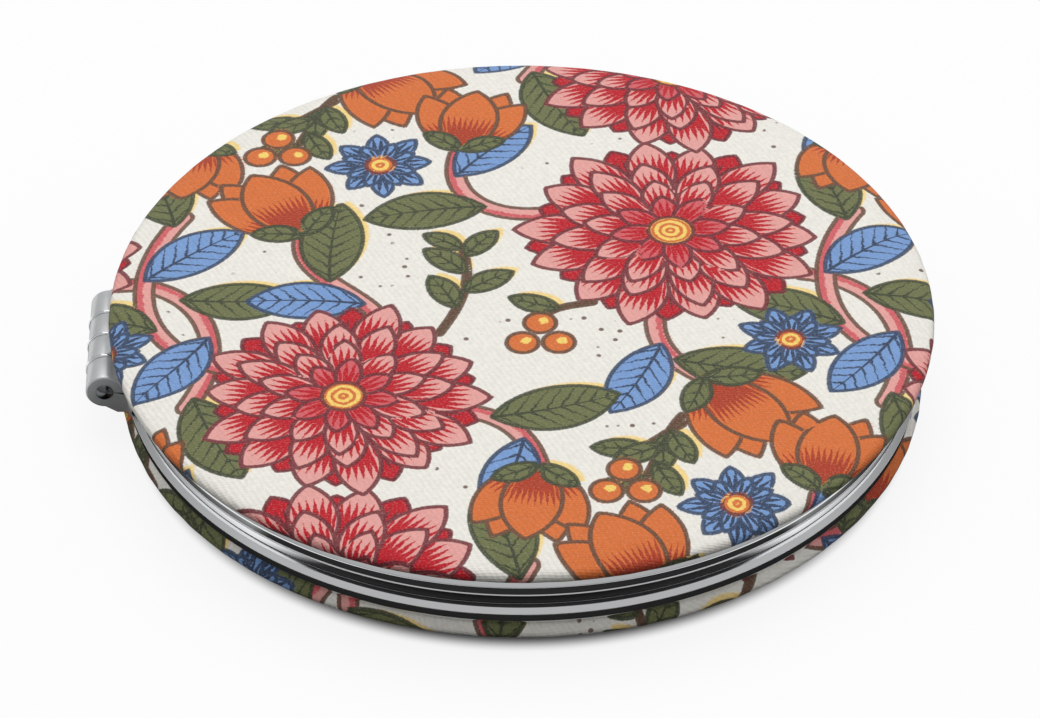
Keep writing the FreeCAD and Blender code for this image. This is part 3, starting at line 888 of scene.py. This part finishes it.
def cover_meridian(half, inset):
    """A cover's outline from its middle to its foot, inset below the surface.

    A flat, a crown arc, a shoulder arc and a small edge round that all touch, then the straight
    side that touches the round and ends at the foot. An arc's centre stays where it is and its
    radius loses inset.
    """
    shape = COVER_SHAPES[half]
    top, edge_round, shoulder_rise = shape["top"], shape["edge_round"], shape["shoulder_rise"]
    shoulder = np.array([shape["radius"] - SHOULDER_WIDTH, shape["edge_height"] + shoulder_rise])
    edge = np.array([shape["radius"] - edge_round, shape["edge_height"]])
    width, rise = shoulder[0] - shape["flat"], top - shoulder[1]
    crown_arc = (width ** 2 + rise ** 2) / rise / 2
    crown_turn = math.asin(width / crown_arc)
    crown_lean = np.array([math.sin(crown_turn), math.cos(crown_turn)])
    span = edge[0] - shoulder[0]
    reach = shoulder_rise * crown_lean[1] - span * crown_lean[0] - edge_round
    shoulder_arc = (span ** 2 + shoulder_rise ** 2 - edge_round ** 2) / reach / 2
    shoulder_centre = shoulder - shoulder_arc * crown_lean
    shoulder_turn = math.atan2(*(edge - shoulder_centre)[::-1])
    run, drop = edge - (foot_radius, frame_back)
    side_turn = math.atan2(run, drop) + math.asin(edge_round / math.hypot(run, drop))
    crown_centre = (shape["flat"], top - crown_arc)
    crown_end = math.pi / 2 - crown_turn
    foot = (foot_radius - inset / math.cos(side_turn), frame_back)
    return np.concatenate([
        [(0, top - inset)],
        arc_points(crown_centre, crown_arc - inset, math.pi / 2, crown_end, CROWN_STEPS),
        arc_points(shoulder_centre, shoulder_arc - inset, crown_end, shoulder_turn, SHOULDER_STEPS)[1:],
        arc_points(edge, edge_round - inset, shoulder_turn, -side_turn, EDGE_STEPS)[1:],
        [foot],
    ])


def disc_grid(half_count):
    """A square grid mapped onto the unit disc so that square rings become circles.

    A point's radius is its larger grid coordinate, and its angle an eighth of a turn for each
    whole ratio of the smaller coordinate to the larger. Returns points, numbers and rim order.
    """
    steps = np.linspace(-1, 1, 2 * half_count + 1)
    first, second = np.meshgrid(steps, steps, indexing="ij")
    wide = np.abs(first) >= np.abs(second)
    radius = np.where(wide, first, second)
    ratio = np.where(wide, second, first) / np.where(radius == 0, 1, radius)
    angle = np.where(wide, ratio, 2 - ratio) * math.pi / 4
    points = (radius[..., None] * directions(angle)).reshape(-1, 2)
    numbers = np.arange(len(points)).reshape(first.shape)
    rim = numbers[np.maximum(np.abs(first), np.abs(second)) == 1]
    order = np.argsort(np.arctan2(points[rim, 1], points[rim, 0]))
    return points, numbers, rim[order]


def cover_mesh(half):
    """A cover's points, faces, places of its points on the flat cloth, and outline's length.

    The outside is a disc grid whose radius is the length along the cover's outline, so the
    print lies on it as on flat cloth. The cloth's unevenness is a sum of slow waves, and the
    gathers are waves round the rim that grow towards the foot. Rings of points take the cloth
    round the hem and back under the outside, and triangles to the middle close it.
    """
    outline = cover_meridian(half, 0.0)
    lengths = np.concatenate([[0], np.cumsum(np.linalg.norm(np.diff(outline, axis=0), axis=1))])
    full = lengths[-1]
    disc, numbers, rim = disc_grid(COVER_HALF_GRID)
    flat = disc * full
    share = np.linalg.norm(disc, axis=1)
    angle = np.arctan2(disc[:, 1], disc[:, 0])
    radius = np.interp(share * full, lengths, outline[:, 0])
    height = np.interp(share * full, lengths, outline[:, 1])
    side = np.clip(1 - (1 - share) * full / GATHER_SPAN, 0, 1)
    gathers = sum(size * np.sin(count * angle + bend * np.sin(bends * angle))
                  for size, count, bend, bends in GATHER_WAVES)
    radius = radius - GATHER_DEPTH * side * (1 - GATHER_FADE * side) * (1 + gathers)
    x, y = flat.T
    waves = np.sin(x / WAVE_X + WAVE_SHIFT) * np.sin(y / WAVE_Y) + np.sin((x + y) / WAVE_ASLANT)
    height = height - UNEVENNESS * (1 + waves / 2) * np.clip(height - UNEVEN_ABOVE, 0, 1)
    outside = grid_points(radius * np.cos(angle), radius * np.sin(angle), height)
    hem = foot_radius - HEM_WIDTH
    inner = cover_meridian(half, FABRIC_THICKNESS)
    lap = [(hem, frame_back), (hem, board_bottom), (board_radius + BOARD_CLEARANCE, board_bottom)]
    lap = np.concatenate([lap, inner[LINING_ROWS]])
    points, bands = with_rings(outside, rim, carried_round(lap, angle[rim]))
    points = np.concatenate([points, [[0, 0, inner[0, 1]]]])
    middle = np.full(len(rim), len(points) - 1)
    fan = np.stack([bands[-1, :-1], middle, bands[-1, 1:]], axis=1)
    faces = grid_faces(numbers).tolist() + grid_faces(bands).tolist() + fan.tolist()
    return points, faces, np.concatenate([flat, points[len(flat):, :2]]), full


def make_cover(half, cut_place, finish):
    """The printed cloth drawn over the pad, cut from the print about a place.

    Returns the piece and the radius of its flat cloth.
    """
    points, faces, cloth, full = cover_mesh(half)
    piece = make_half_piece(half, "_printed_cover", points, faces, finish, "_fabric_cover",
                            "printed_fabric", smooth_angle=60, merge=False)
    cloth = cloth + np.array(cut_place)
    sheet = draw_print(cloth, full)
    give(piece, "cloth", np.pad(cloth, ((0, 0), (0, 1))))
    give(piece, "edges", sheet["edges"][:, :3])
    give(piece, "further_edges", sheet["edges"][:, 3:])
    give(piece, "hatching", np.stack([sheet["hatch"], sheet["level"], sheet["bare"]], axis=1))
    for field in ("rib", "ghost", "ink", "shade", "outline"):
        give(piece, field, sheet[field])
    return piece, full + HEM_WIDTH


def give(piece, name, values):
    """Store a number, a vector or a colour at each point of a piece's mesh."""
    kind, item = FIELD_KINDS[values.size // len(values)]
    layer = piece.data.attributes.new(name, kind, "POINT")
    layer.data.foreach_set(item, np.asarray(values, np.float32).ravel())


# Chromed frames

FRAME_COLUMNS = 721
NOTCH_COLUMNS = 25
LAND_RINGS = 11
WINDOW_HALF_COLUMNS = 5
WINDOW_MARGIN = 0.16


def frame_outline():
    """The frame's section: out along its back, over the flange and groove, and in to the pan.

    The flange has a bevel on the cover's side, an upright face that flares at its foot, and a
    rim that slopes into the groove. The groove's wall leans out towards the parting plane.
    Returns the outline, and the number of the first of its rings on the flat land.
    """
    rim_height = GROOVE_HALF_HEIGHT + RIM_BEVEL_HEIGHT
    face_radius = flange_radius - FACE_DEPTH
    lip = rounded([
        (0, frame_back, 0),
        (face_radius - LIP_BEVEL_WIDTH, frame_back, LIP_EDGE_ROUND),
        (face_radius, frame_back - LIP_BEVEL_HEIGHT, LIP_FACE_ROUND),
        (face_radius, rim_height + FLARE_HEIGHT, FLARE_ROUND),
        (flange_radius, rim_height, RIM_ROUND),
        (wall_radius, GROOVE_HALF_HEIGHT, GROOVE_CORNER),
        (wall_radius + GROOVE_DRAFT, land_height, LAND_ROUND),
        (seat_radius, land_height, 0),
    ])[:-1]
    window = magnet_radius + MAGNET_CLEARANCE + MAGNET_HOLE_CHAMFER + WINDOW_MARGIN
    land = np.linspace(magnet_place + window, magnet_place - window, LAND_RINGS)
    seat = [
        (seat_radius + SEAT_CHAMFER, land_height),
        (seat_radius, land_height + SEAT_CHAMFER),
        (seat_radius, pan_floor),
        (0, pan_floor),
    ]
    rings = np.stack([land, np.full(LAND_RINGS, land_height)], axis=1)
    return np.concatenate([lip, rings, seat]), len(lip)


def make_frame(half, finish):
    """A plated frame: its section turned about Z, with the hinge's notch and the magnet's hole.

    Columns round the frame end at the notch's walls, asin(half width / radius) from -X, and
    columns across the notch are held at its flat floor. The hole joins a window in the land's
    grid to rings about the magnet, each point going straight towards the magnet's middle.
    """
    outline, first_land = frame_outline()
    radius, height = outline[:, :1], outline[:, 1:]
    notch_floor = hinge_x + leaf_seat
    notch_half = leaf_half + NOTCH_CLEARANCE
    notch_turn = np.arcsin(notch_half / np.maximum(radius, math.hypot(notch_floor, notch_half)))
    around = np.linspace(-1, 1, FRAME_COLUMNS) * (math.pi - notch_turn)
    across = math.pi - np.linspace(1, -1, NOTCH_COLUMNS) * notch_turn
    held = np.maximum(radius * np.cos(across), notch_floor)
    x = np.concatenate([radius * np.cos(around), held], axis=1)
    y = radius * np.sin(np.concatenate([around, across], axis=1))
    points = grid_points(x, y, height)
    numbers = closed_numbers(*x.shape)
    left = FRAME_COLUMNS // 2 - WINDOW_HALF_COLUMNS
    right = left + 2 * WINDOW_HALF_COLUMNS
    last_land = first_land + LAND_RINGS - 1
    kept = np.ones((x.shape[0] - 1, x.shape[1]), bool)
    kept[first_land:last_land, left:right] = False
    window = numbers[first_land:last_land + 1, left:right + 1]
    loop = np.concatenate([window[0, :-1], window[:-1, -1], window[-1, :0:-1], window[:0:-1, 0]])
    turn = np.arctan2(points[loop, 1], points[loop, 0] - magnet_place)
    hole = magnet_radius + MAGNET_CLEARANCE
    steps = np.array([
        (hole + MAGNET_HOLE_CHAMFER, land_height),
        (hole, land_height + MAGNET_HOLE_CHAMFER),
        (hole, land_height + magnet_depth),
        (0, land_height + magnet_depth),
    ])
    points, bands = with_rings(points, loop, carried_round(steps, turn, magnet_place))
    faces = np.concatenate([grid_faces(numbers)[kept.ravel()], grid_faces(bands)])
    make_half_piece(half, "_chrome_frame", points, faces, finish, "_frame", "chrome")


# Hinge

PLATE_STEPS = 16
STATION_STEP = 0.3
KNUCKLE_STEPS = 72
ROUND_STEPS = 5
DOME_STEPS = 14
PIN_COLUMNS = 64
WASHER_COLUMNS = 96

joint_step = HINGE_LENGTH / KNUCKLE_COUNT
inner_knuckle = (KNUCKLE_GAP - joint_step, -KNUCKLE_GAP)
outer_knuckle = (KNUCKLE_GAP + joint_step, HINGE_LENGTH / 2)


def plate_mesh():
    """A leaf's plate: its section carried along the hinge, from distance X inwards of the axis.

    The front is the flange's circle, or the relief round the other leaf's barrel where that
    lies further in. The back is flat in the frame's notch.
    """
    spans = [
        (-leaf_half, inner_knuckle[0], True),
        (*inner_knuckle, False),
        (inner_knuckle[1], outer_knuckle[0], True),
        (outer_knuckle[0], leaf_half, False),
    ]
    counts = [math.ceil((end - start) / STATION_STEP) + 1 for start, end, _ in spans]
    along = [np.linspace(start, end, count) for (start, end, _), count in zip(spans, counts)]
    along = np.concatenate(along)[:, None]
    relieved = np.repeat([span[2] for span in spans], counts)[:, None]
    height = np.linspace(land_height, frame_back, PLATE_STEPS)[None]
    circle = -hinge_x - np.sqrt(flange_radius ** 2 - along ** 2)
    relief = np.sqrt(np.maximum(RELIEF_RADIUS ** 2 - height ** 2, 0))
    front = np.where(relieved, np.maximum(circle, relief), circle)
    back = np.full((len(along), 2), leaf_seat)
    inwards = np.concatenate([front, back], axis=1)
    height = np.concatenate([height, [[frame_back, land_height]]], axis=1)
    numbers = closed_numbers(*inwards.shape)
    ends = [numbers[0, :-1].tolist(), numbers[-1, -2::-1].tolist()]
    return grid_points(inwards + hinge_x, along, height), grid_faces(numbers).tolist() + ends


def knuckle_mesh(near, far):
    """A knuckle and its leg: one outline carried along the hinge, with rounded ends and a bore.

    The outline is the barrel's circle and the leg that leaves it, and at each end it draws in
    along a quarter round, with one more row to keep the end's face flat. The first and last
    rows are the ends of the bore, and join.
    """
    low, top = land_height + LEG_TUCK, frame_back - LEG_TUCK
    leg = [(leaf_seat - LEG_TUCK, low), (leaf_seat - LEG_TUCK, top), (LEG_TOE, top)]
    barrel_end = 2 * math.pi + math.asin(low / barrel_radius)
    barrel = arc_points((0, 0), barrel_radius, math.pi / 2, barrel_end, KNUCKLE_STEPS)
    outline = np.concatenate([leg, barrel])
    tangent = np.roll(outline, -1, axis=0) - np.roll(outline, 1, axis=0)
    inward = np.stack([-tangent[:, 1], tangent[:, 0]], axis=1)
    inward = inward / np.linalg.norm(inward, axis=1)[:, None]
    turn = np.linspace(0, math.pi / 2, ROUND_STEPS)
    draw_in = KNUCKLE_ROUND * (1 - np.sin(turn))
    step_in = KNUCKLE_ROUND * (1 - np.cos(turn))
    insets = np.concatenate([draw_in, draw_in[::-1]])[:, None, None]
    along = np.concatenate([near + step_in, (far - step_in)[::-1]])[:, None]
    rows = outline + insets * inward
    face_edge = (outline + END_FACE_INSET * inward)[None]
    bore_turn = np.maximum.accumulate(np.unwrap(np.arctan2(outline[:, 1], outline[:, 0])))
    bore = directions(bore_turn)[None] * BORE_RADIUS
    rows = np.concatenate([bore, face_edge, rows, face_edge, bore])
    along = np.concatenate([[[near], [near]], along, [[far], [far]]])
    numbers = closed_numbers(*rows.shape[:2])
    numbers = np.concatenate([numbers, numbers[:1]])
    points = grid_points(rows[..., 0] + hinge_x, along, rows[..., 1])
    return points, grid_faces(numbers).tolist()


def make_leaf(half, finish):
    """A hinge leaf: the plate in the frame's notch, and its two knuckles."""
    points, faces = joined([plate_mesh(), knuckle_mesh(*inner_knuckle), knuckle_mesh(*outer_knuckle)])
    make_half_piece(half, "_hinge_plate", points, faces, finish, "_hinge_leaf", "hinge_metal",
                    smooth_angle=30)


def make_pin(finish):
    """The hinge pin turned about its axis, with a domed head at each end."""
    head_foot = pin_half - PIN_HEAD_RISE
    dome = (pin_head_radius ** 2 + PIN_HEAD_RISE ** 2) / PIN_HEAD_RISE / 2
    dome_turn = math.asin(pin_head_radius / dome)
    cap = arc_points((0, pin_half - dome), dome, math.pi / 2, math.pi / 2 - dome_turn, DOME_STEPS)
    half_pin = np.concatenate([cap, [(PIN_RADIUS, head_foot)]])
    outline = np.concatenate([half_pin, (half_pin * (1, -1))[::-1]])
    points, faces = turned_on_hinge(outline, PIN_COLUMNS)
    make_piece("hinge_rivet", "base", points, faces, finish, "hinge_pin", "chrome")


def make_washers(finish):
    """Three rings between the knuckles: one rounded section each, turned about the hinge axis."""
    half = WASHER_THICKNESS / 2
    section = rounded([
        (BORE_RADIUS, -half, 0),
        (washer_radius, -half, WASHER_ROUND),
        (washer_radius, half, WASHER_ROUND),
        (BORE_RADIUS, half, 0),
        (BORE_RADIUS, -half, 0),
    ])
    places = [(0, joint_step * count) for count in (-1, 0, 1)]
    points, faces = joined([turned_on_hinge(section + place, WASHER_COLUMNS) for place in places])
    make_piece("hinge_rings", "base", points, faces, finish, "hinge_washers", "chrome")


# Mirrors and pads

MIRROR_COLUMNS = 256
HOLLOW_STEPS = 40


def make_mirror(half, magnifying, finish):
    """A round mirror with a bevelled rim, flat or hollowed to a large sphere, turned about Z."""
    bevel_start = mirror_radius - MIRROR_BEVEL_WIDTH
    across = np.linspace(bevel_start, 0, HOLLOW_STEPS)
    hollow = 0 * across
    if magnifying:
        rise = np.sqrt(MAGNIFIER_RADIUS ** 2 - across ** 2)
        hollow = rise - rise[0]
    face = np.stack([across, glass_face + hollow], axis=1)
    rim = rounded([
        (0, glass_back, 0),
        (mirror_radius, glass_back, MIRROR_EDGE_ROUND),
        (mirror_radius, glass_face + MIRROR_BEVEL_DEPTH, MIRROR_EDGE_ROUND),
        (bevel_start, glass_face, 0),
    ], steps=5)[:-1]
    points, faces = turned(np.concatenate([rim, face]), MIRROR_COLUMNS)
    make_half_piece(half, "_mirror_glass", points, faces, finish, "_mirror", "mirror_glass",
                    smooth_angle=5)


def make_pad(half, finish):
    """The foam under the cloth: the cover's outline, inset, cut level at the board, turned."""
    outline = cover_meridian(half, FABRIC_THICKNESS + FOAM_CLEARANCE)
    count = np.argmax(outline[:, 1] < board_top)
    upper, lower = outline[count - 1:count + 1]
    cut = upper + (lower - upper) * (upper[1] - board_top) / (upper[1] - lower[1])
    outline = np.concatenate([outline[:count], [cut, (0, board_top)]])
    points, faces = turned(outline, MIRROR_COLUMNS)
    piece = make_half_piece(half, "_foam_filling", points, faces, finish, "_foam_pad", "foam")
    return piece


chrome = worn_metal("chrome_plate", (226, 228, 230), (240, 241, 242), 0.05, 0.04, 900.0, 6e-7)
satin = worn_metal("satin_metal", (198, 201, 202), (224, 226, 227), 0.32, 0.1, 1500.0, 2e-6, 0.6)
pin_steel = worn_metal("pin_steel", (84, 86, 88), (112, 114, 116), 0.14, 0.08, 1500.0, 1e-6)
silver = silvered_glass()
foam = fibrous("open_foam", (214, 205, 176), (240, 234, 212), 1500.0, 5e-5, 0.95)
print_cloth = printed_cloth()
# Finishes of the CAD nodes that stay as they are, by the end of a node's name
SOLID_FINISHES = {
    "_magnet": worn_metal("magnet_steel", (150, 150, 148), (186, 186, 184), 0.3, 0.1, 2400.0, 2e-6),
    "_mirror_tape": fibrous("mirror_tape", (214, 211, 198), (232, 229, 218), 900.0, 5e-6, 0.6),
    "_cover_adhesive": fibrous("cover_adhesive", (206, 190, 150), (226, 212, 176), 700.0, 8e-6, 0.45),
    "_backing_board": fibrous("grey_board", (132, 122, 106), (176, 166, 148), 2600.0, 2e-5, 0.9),
}

# Each half: whether its mirror magnifies, and the place on the print that its cloth is cut about
HALVES = [("lid", True, (0.0, 0.0)), ("base", False, (15.0, 15.0))]
for half, magnifying, cut_place in HALVES:
    pad = make_pad(half, foam)
    cover, reach = make_cover(half, cut_place, print_cloth)
    make_frame(half, chrome)
    make_mirror(half, magnifying, silver)
    make_leaf(half, satin)
    for node, finish in SOLID_FINISHES.items():
        finishes = frame["nodes"][half + node].data.materials
        finishes.clear()
        finishes.append(finish)
make_pin(pin_steel)
make_washers(chrome)


# Camera: places in metres, angles in degrees, lens and sensor in millimetres

CAMERA_DISTANCE = 0.480
CAMERA_AZIMUTH = -1.0
CAMERA_ELEVATION = 38.6
CAMERA_LENS = 194.8
SENSOR_WIDTH = 36
AIM_BELOW = 0.00133
AIM_LEFT = 0.00013

azimuth, elevation = math.radians(CAMERA_AZIMUTH), math.radians(CAMERA_ELEVATION)
level_back = Vector((math.sin(azimuth), -math.cos(azimuth), 0))
right = Vector((math.cos(azimuth), math.sin(azimuth), 0))
back = level_back * math.cos(elevation) + Vector((0, 0, math.sin(elevation)))
middle = Vector((0, 0, parting * MM))


def stand(name, data, place, aim):
    """A lamp or a camera at a place, turned towards an aim."""
    item = add_object(name, data)
    item.location = place
    item.rotation_euler = (aim - item.location).to_track_quat("-Z", "Y").to_euler()
    return item


lens = bpy.data.cameras.new("camera")
lens.lens = CAMERA_LENS
lens.sensor_width = SENSOR_WIDTH
aim = middle - back.cross(right) * AIM_BELOW - right * AIM_LEFT
bpy.context.scene.camera = stand("camera", lens, middle + back * CAMERA_DISTANCE, aim)


# Floor, card and light, in metres. A pair of edges is the span over which a tone fades.

FLOOR_HALF = 2.5
FLOOR_DROP = 0.0001
FLOOR_LIT_SHARE = 0.88
SHADOW_EDGE = (0.032, 0.0339)
# The card is painted shade: the floor's shadow round and before the object, seen only in reflections
CARD_NEAR = 0.025
CARD_FAR = 0.4
CARD_RING_EDGE = (0.038, 0.0445)
CARD_BACK_EDGE = (-0.02, -0.01)
CARD_FRONT_EDGE = (0.06, CARD_FAR)
CARD_SIDE_EDGE = (0.0285, 0.0345)
CARD_TONE_EDGE = (0.045, 0.052)
CARD_COLUMNS = 96
FLOOR_TONE = linear(244, 244, 244)
FLOOR_UNSEEN_TONE = linear(50, 50, 50)
CARD_SHADE_TONE = linear(48, 48, 48)
CARD_FAR_SHADE_TONE = linear(22, 22, 22)
WORLD_HORIZON = 0.26
WORLD_ABOVE = 0.51
WORLD_REACH = 0.6
# Lamps: name, place, size, radiance, and whether they show in reflections
LAMPS = [
    ("top_softbox", (0.0, 0.18, 0.75), 0.7, 2.05, True),
    ("left_softbox", (-0.7, 0.05, 0.34), 0.45, 0.8, False),
    ("right_softbox", (0.7, 0.05, 0.34), 0.45, 1.0, False),
]


def stage_piece(name, points, faces, surface):
    """A piece of the studio, with a material whose surface the given function builds."""
    material, tree, where = new_material(name)
    tree.nodes.remove(tree.nodes["Principled BSDF"])
    fill(tree, tree.nodes["Material Output"].inputs, {"Surface": surface(tree, where)})
    mesh = bpy.data.meshes.new(name)
    mesh.from_pydata(points, [], faces)
    mesh.materials.append(material)
    piece = add_object(name, mesh)
    return piece


def distance(tree, where):
    """How far a place is from the origin."""
    return put(tree, "ShaderNodeVectorMath", {0: where}, operation="LENGTH").outputs["Value"]


def floor_surface(tree, where):
    """Pale and matte, and lit from within where it is seen clear of the object's foot.

    To scattered light it is dark.
    """
    radius = distance(tree, where)
    path = put(tree, "ShaderNodeLightPath").outputs
    seen = calc(tree, "MAXIMUM", path["Is Camera Ray"], path["Is Glossy Ray"])
    seen = calc(tree, "MAXIMUM", seen, path["Is Transmission Ray"])
    tone = mixed(tree, seen, FLOOR_UNSEEN_TONE, FLOOR_TONE)
    matte = put(tree, "ShaderNodeBsdfDiffuse", {"Color": tone}).outputs[0]
    lit = put(tree, "ShaderNodeEmission", {"Color": linear(255, 255, 255)}).outputs[0]
    share = calc(tree, "MULTIPLY", seen, ramp(tree, radius, *SHADOW_EDGE, 0.0, FLOOR_LIT_SHARE))
    return put(tree, "ShaderNodeMixShader", {0: share, 1: matte, 2: lit}).outputs[0]


def reflected_shade_surface(tree, where):
    """Painted shade: the floor's shadow as reflections see it, dark in a ring round the object and in a
    strip before it, with soft edges; else clear.
    """
    radius = distance(tree, where)
    across, along, _ = split(tree, where)
    strip = ramp(tree, calc(tree, "ABSOLUTE", across), *CARD_SIDE_EDGE, 1.0, 0.0)
    strip = calc(tree, "MULTIPLY", strip, ramp(tree, radius, *CARD_FRONT_EDGE, 1.0, 0.0))
    strip = calc(tree, "MULTIPLY", strip, ramp(tree, along, *CARD_BACK_EDGE, 1.0, 0.0))
    share = calc(tree, "MAXIMUM", strip, ramp(tree, radius, *CARD_RING_EDGE, 1.0, 0.0))
    further = ramp(tree, radius, *CARD_TONE_EDGE, 0.0, 1.0)
    tone = mixed(tree, further, CARD_SHADE_TONE, CARD_FAR_SHADE_TONE)
    dark = put(tree, "ShaderNodeBsdfDiffuse", {"Color": tone}).outputs[0]
    clear = put(tree, "ShaderNodeBsdfTransparent").outputs[0]
    return put(tree, "ShaderNodeMixShader", {0: share, 1: clear, 2: dark}).outputs[0]


def add_lamp(name, place, size, radiance, mirrored):
    """A square soft lamp turned to the object; its power gives that radiance over its face.

    It shows in reflections only where it is mirrored.
    """
    lamp = bpy.data.lights.new(name, "AREA")
    lamp.size = size
    lamp.energy = math.pi * size ** 2 * radiance
    item = stand(name, lamp, place, middle)
    item.visible_camera = False
    item.visible_glossy = mirrored


floor_corners = [(-1, -1), (1, -1), (1, 1), (-1, 1)]
floor_points = [(x * FLOOR_HALF, y * FLOOR_HALF, -FLOOR_DROP) for x, y in floor_corners]
stage_piece("pale_floor", floor_points, [(0, 1, 2, 3)], floor_surface)

# A card of painted shade on the floor round and before the object, standing for the floor's shadow
# there, which only reflections see
card_points, card_faces = turned(np.array([(CARD_NEAR, 0.0), (CARD_FAR, 0.0)]), CARD_COLUMNS)
shade_card = stage_piece("reflected_floor_shade", card_points.tolist(), card_faces.tolist(), reflected_shade_surface)
for rays in ("camera", "diffuse", "transmission", "shadow"):
    setattr(shade_card, "visible_" + rays, False)

for lamp in LAMPS:
    add_lamp(*lamp)

# Surroundings, brighter above than at the horizon
world = bpy.data.worlds.new("studio")
bpy.context.scene.world = world
world.use_nodes = True
sky = world.node_tree
rise = split(sky, put(sky, "ShaderNodeTexCoord").outputs["Generated"])[2]
strength = ramp(sky, rise, 0.0, WORLD_REACH, WORLD_HORIZON, WORLD_ABOVE)
fill(sky, sky.nodes["Background"].inputs, {"Color": linear(255, 255, 255), "Strength": strength})

bpy.context.scene.view_settings.view_transform = "Standard"
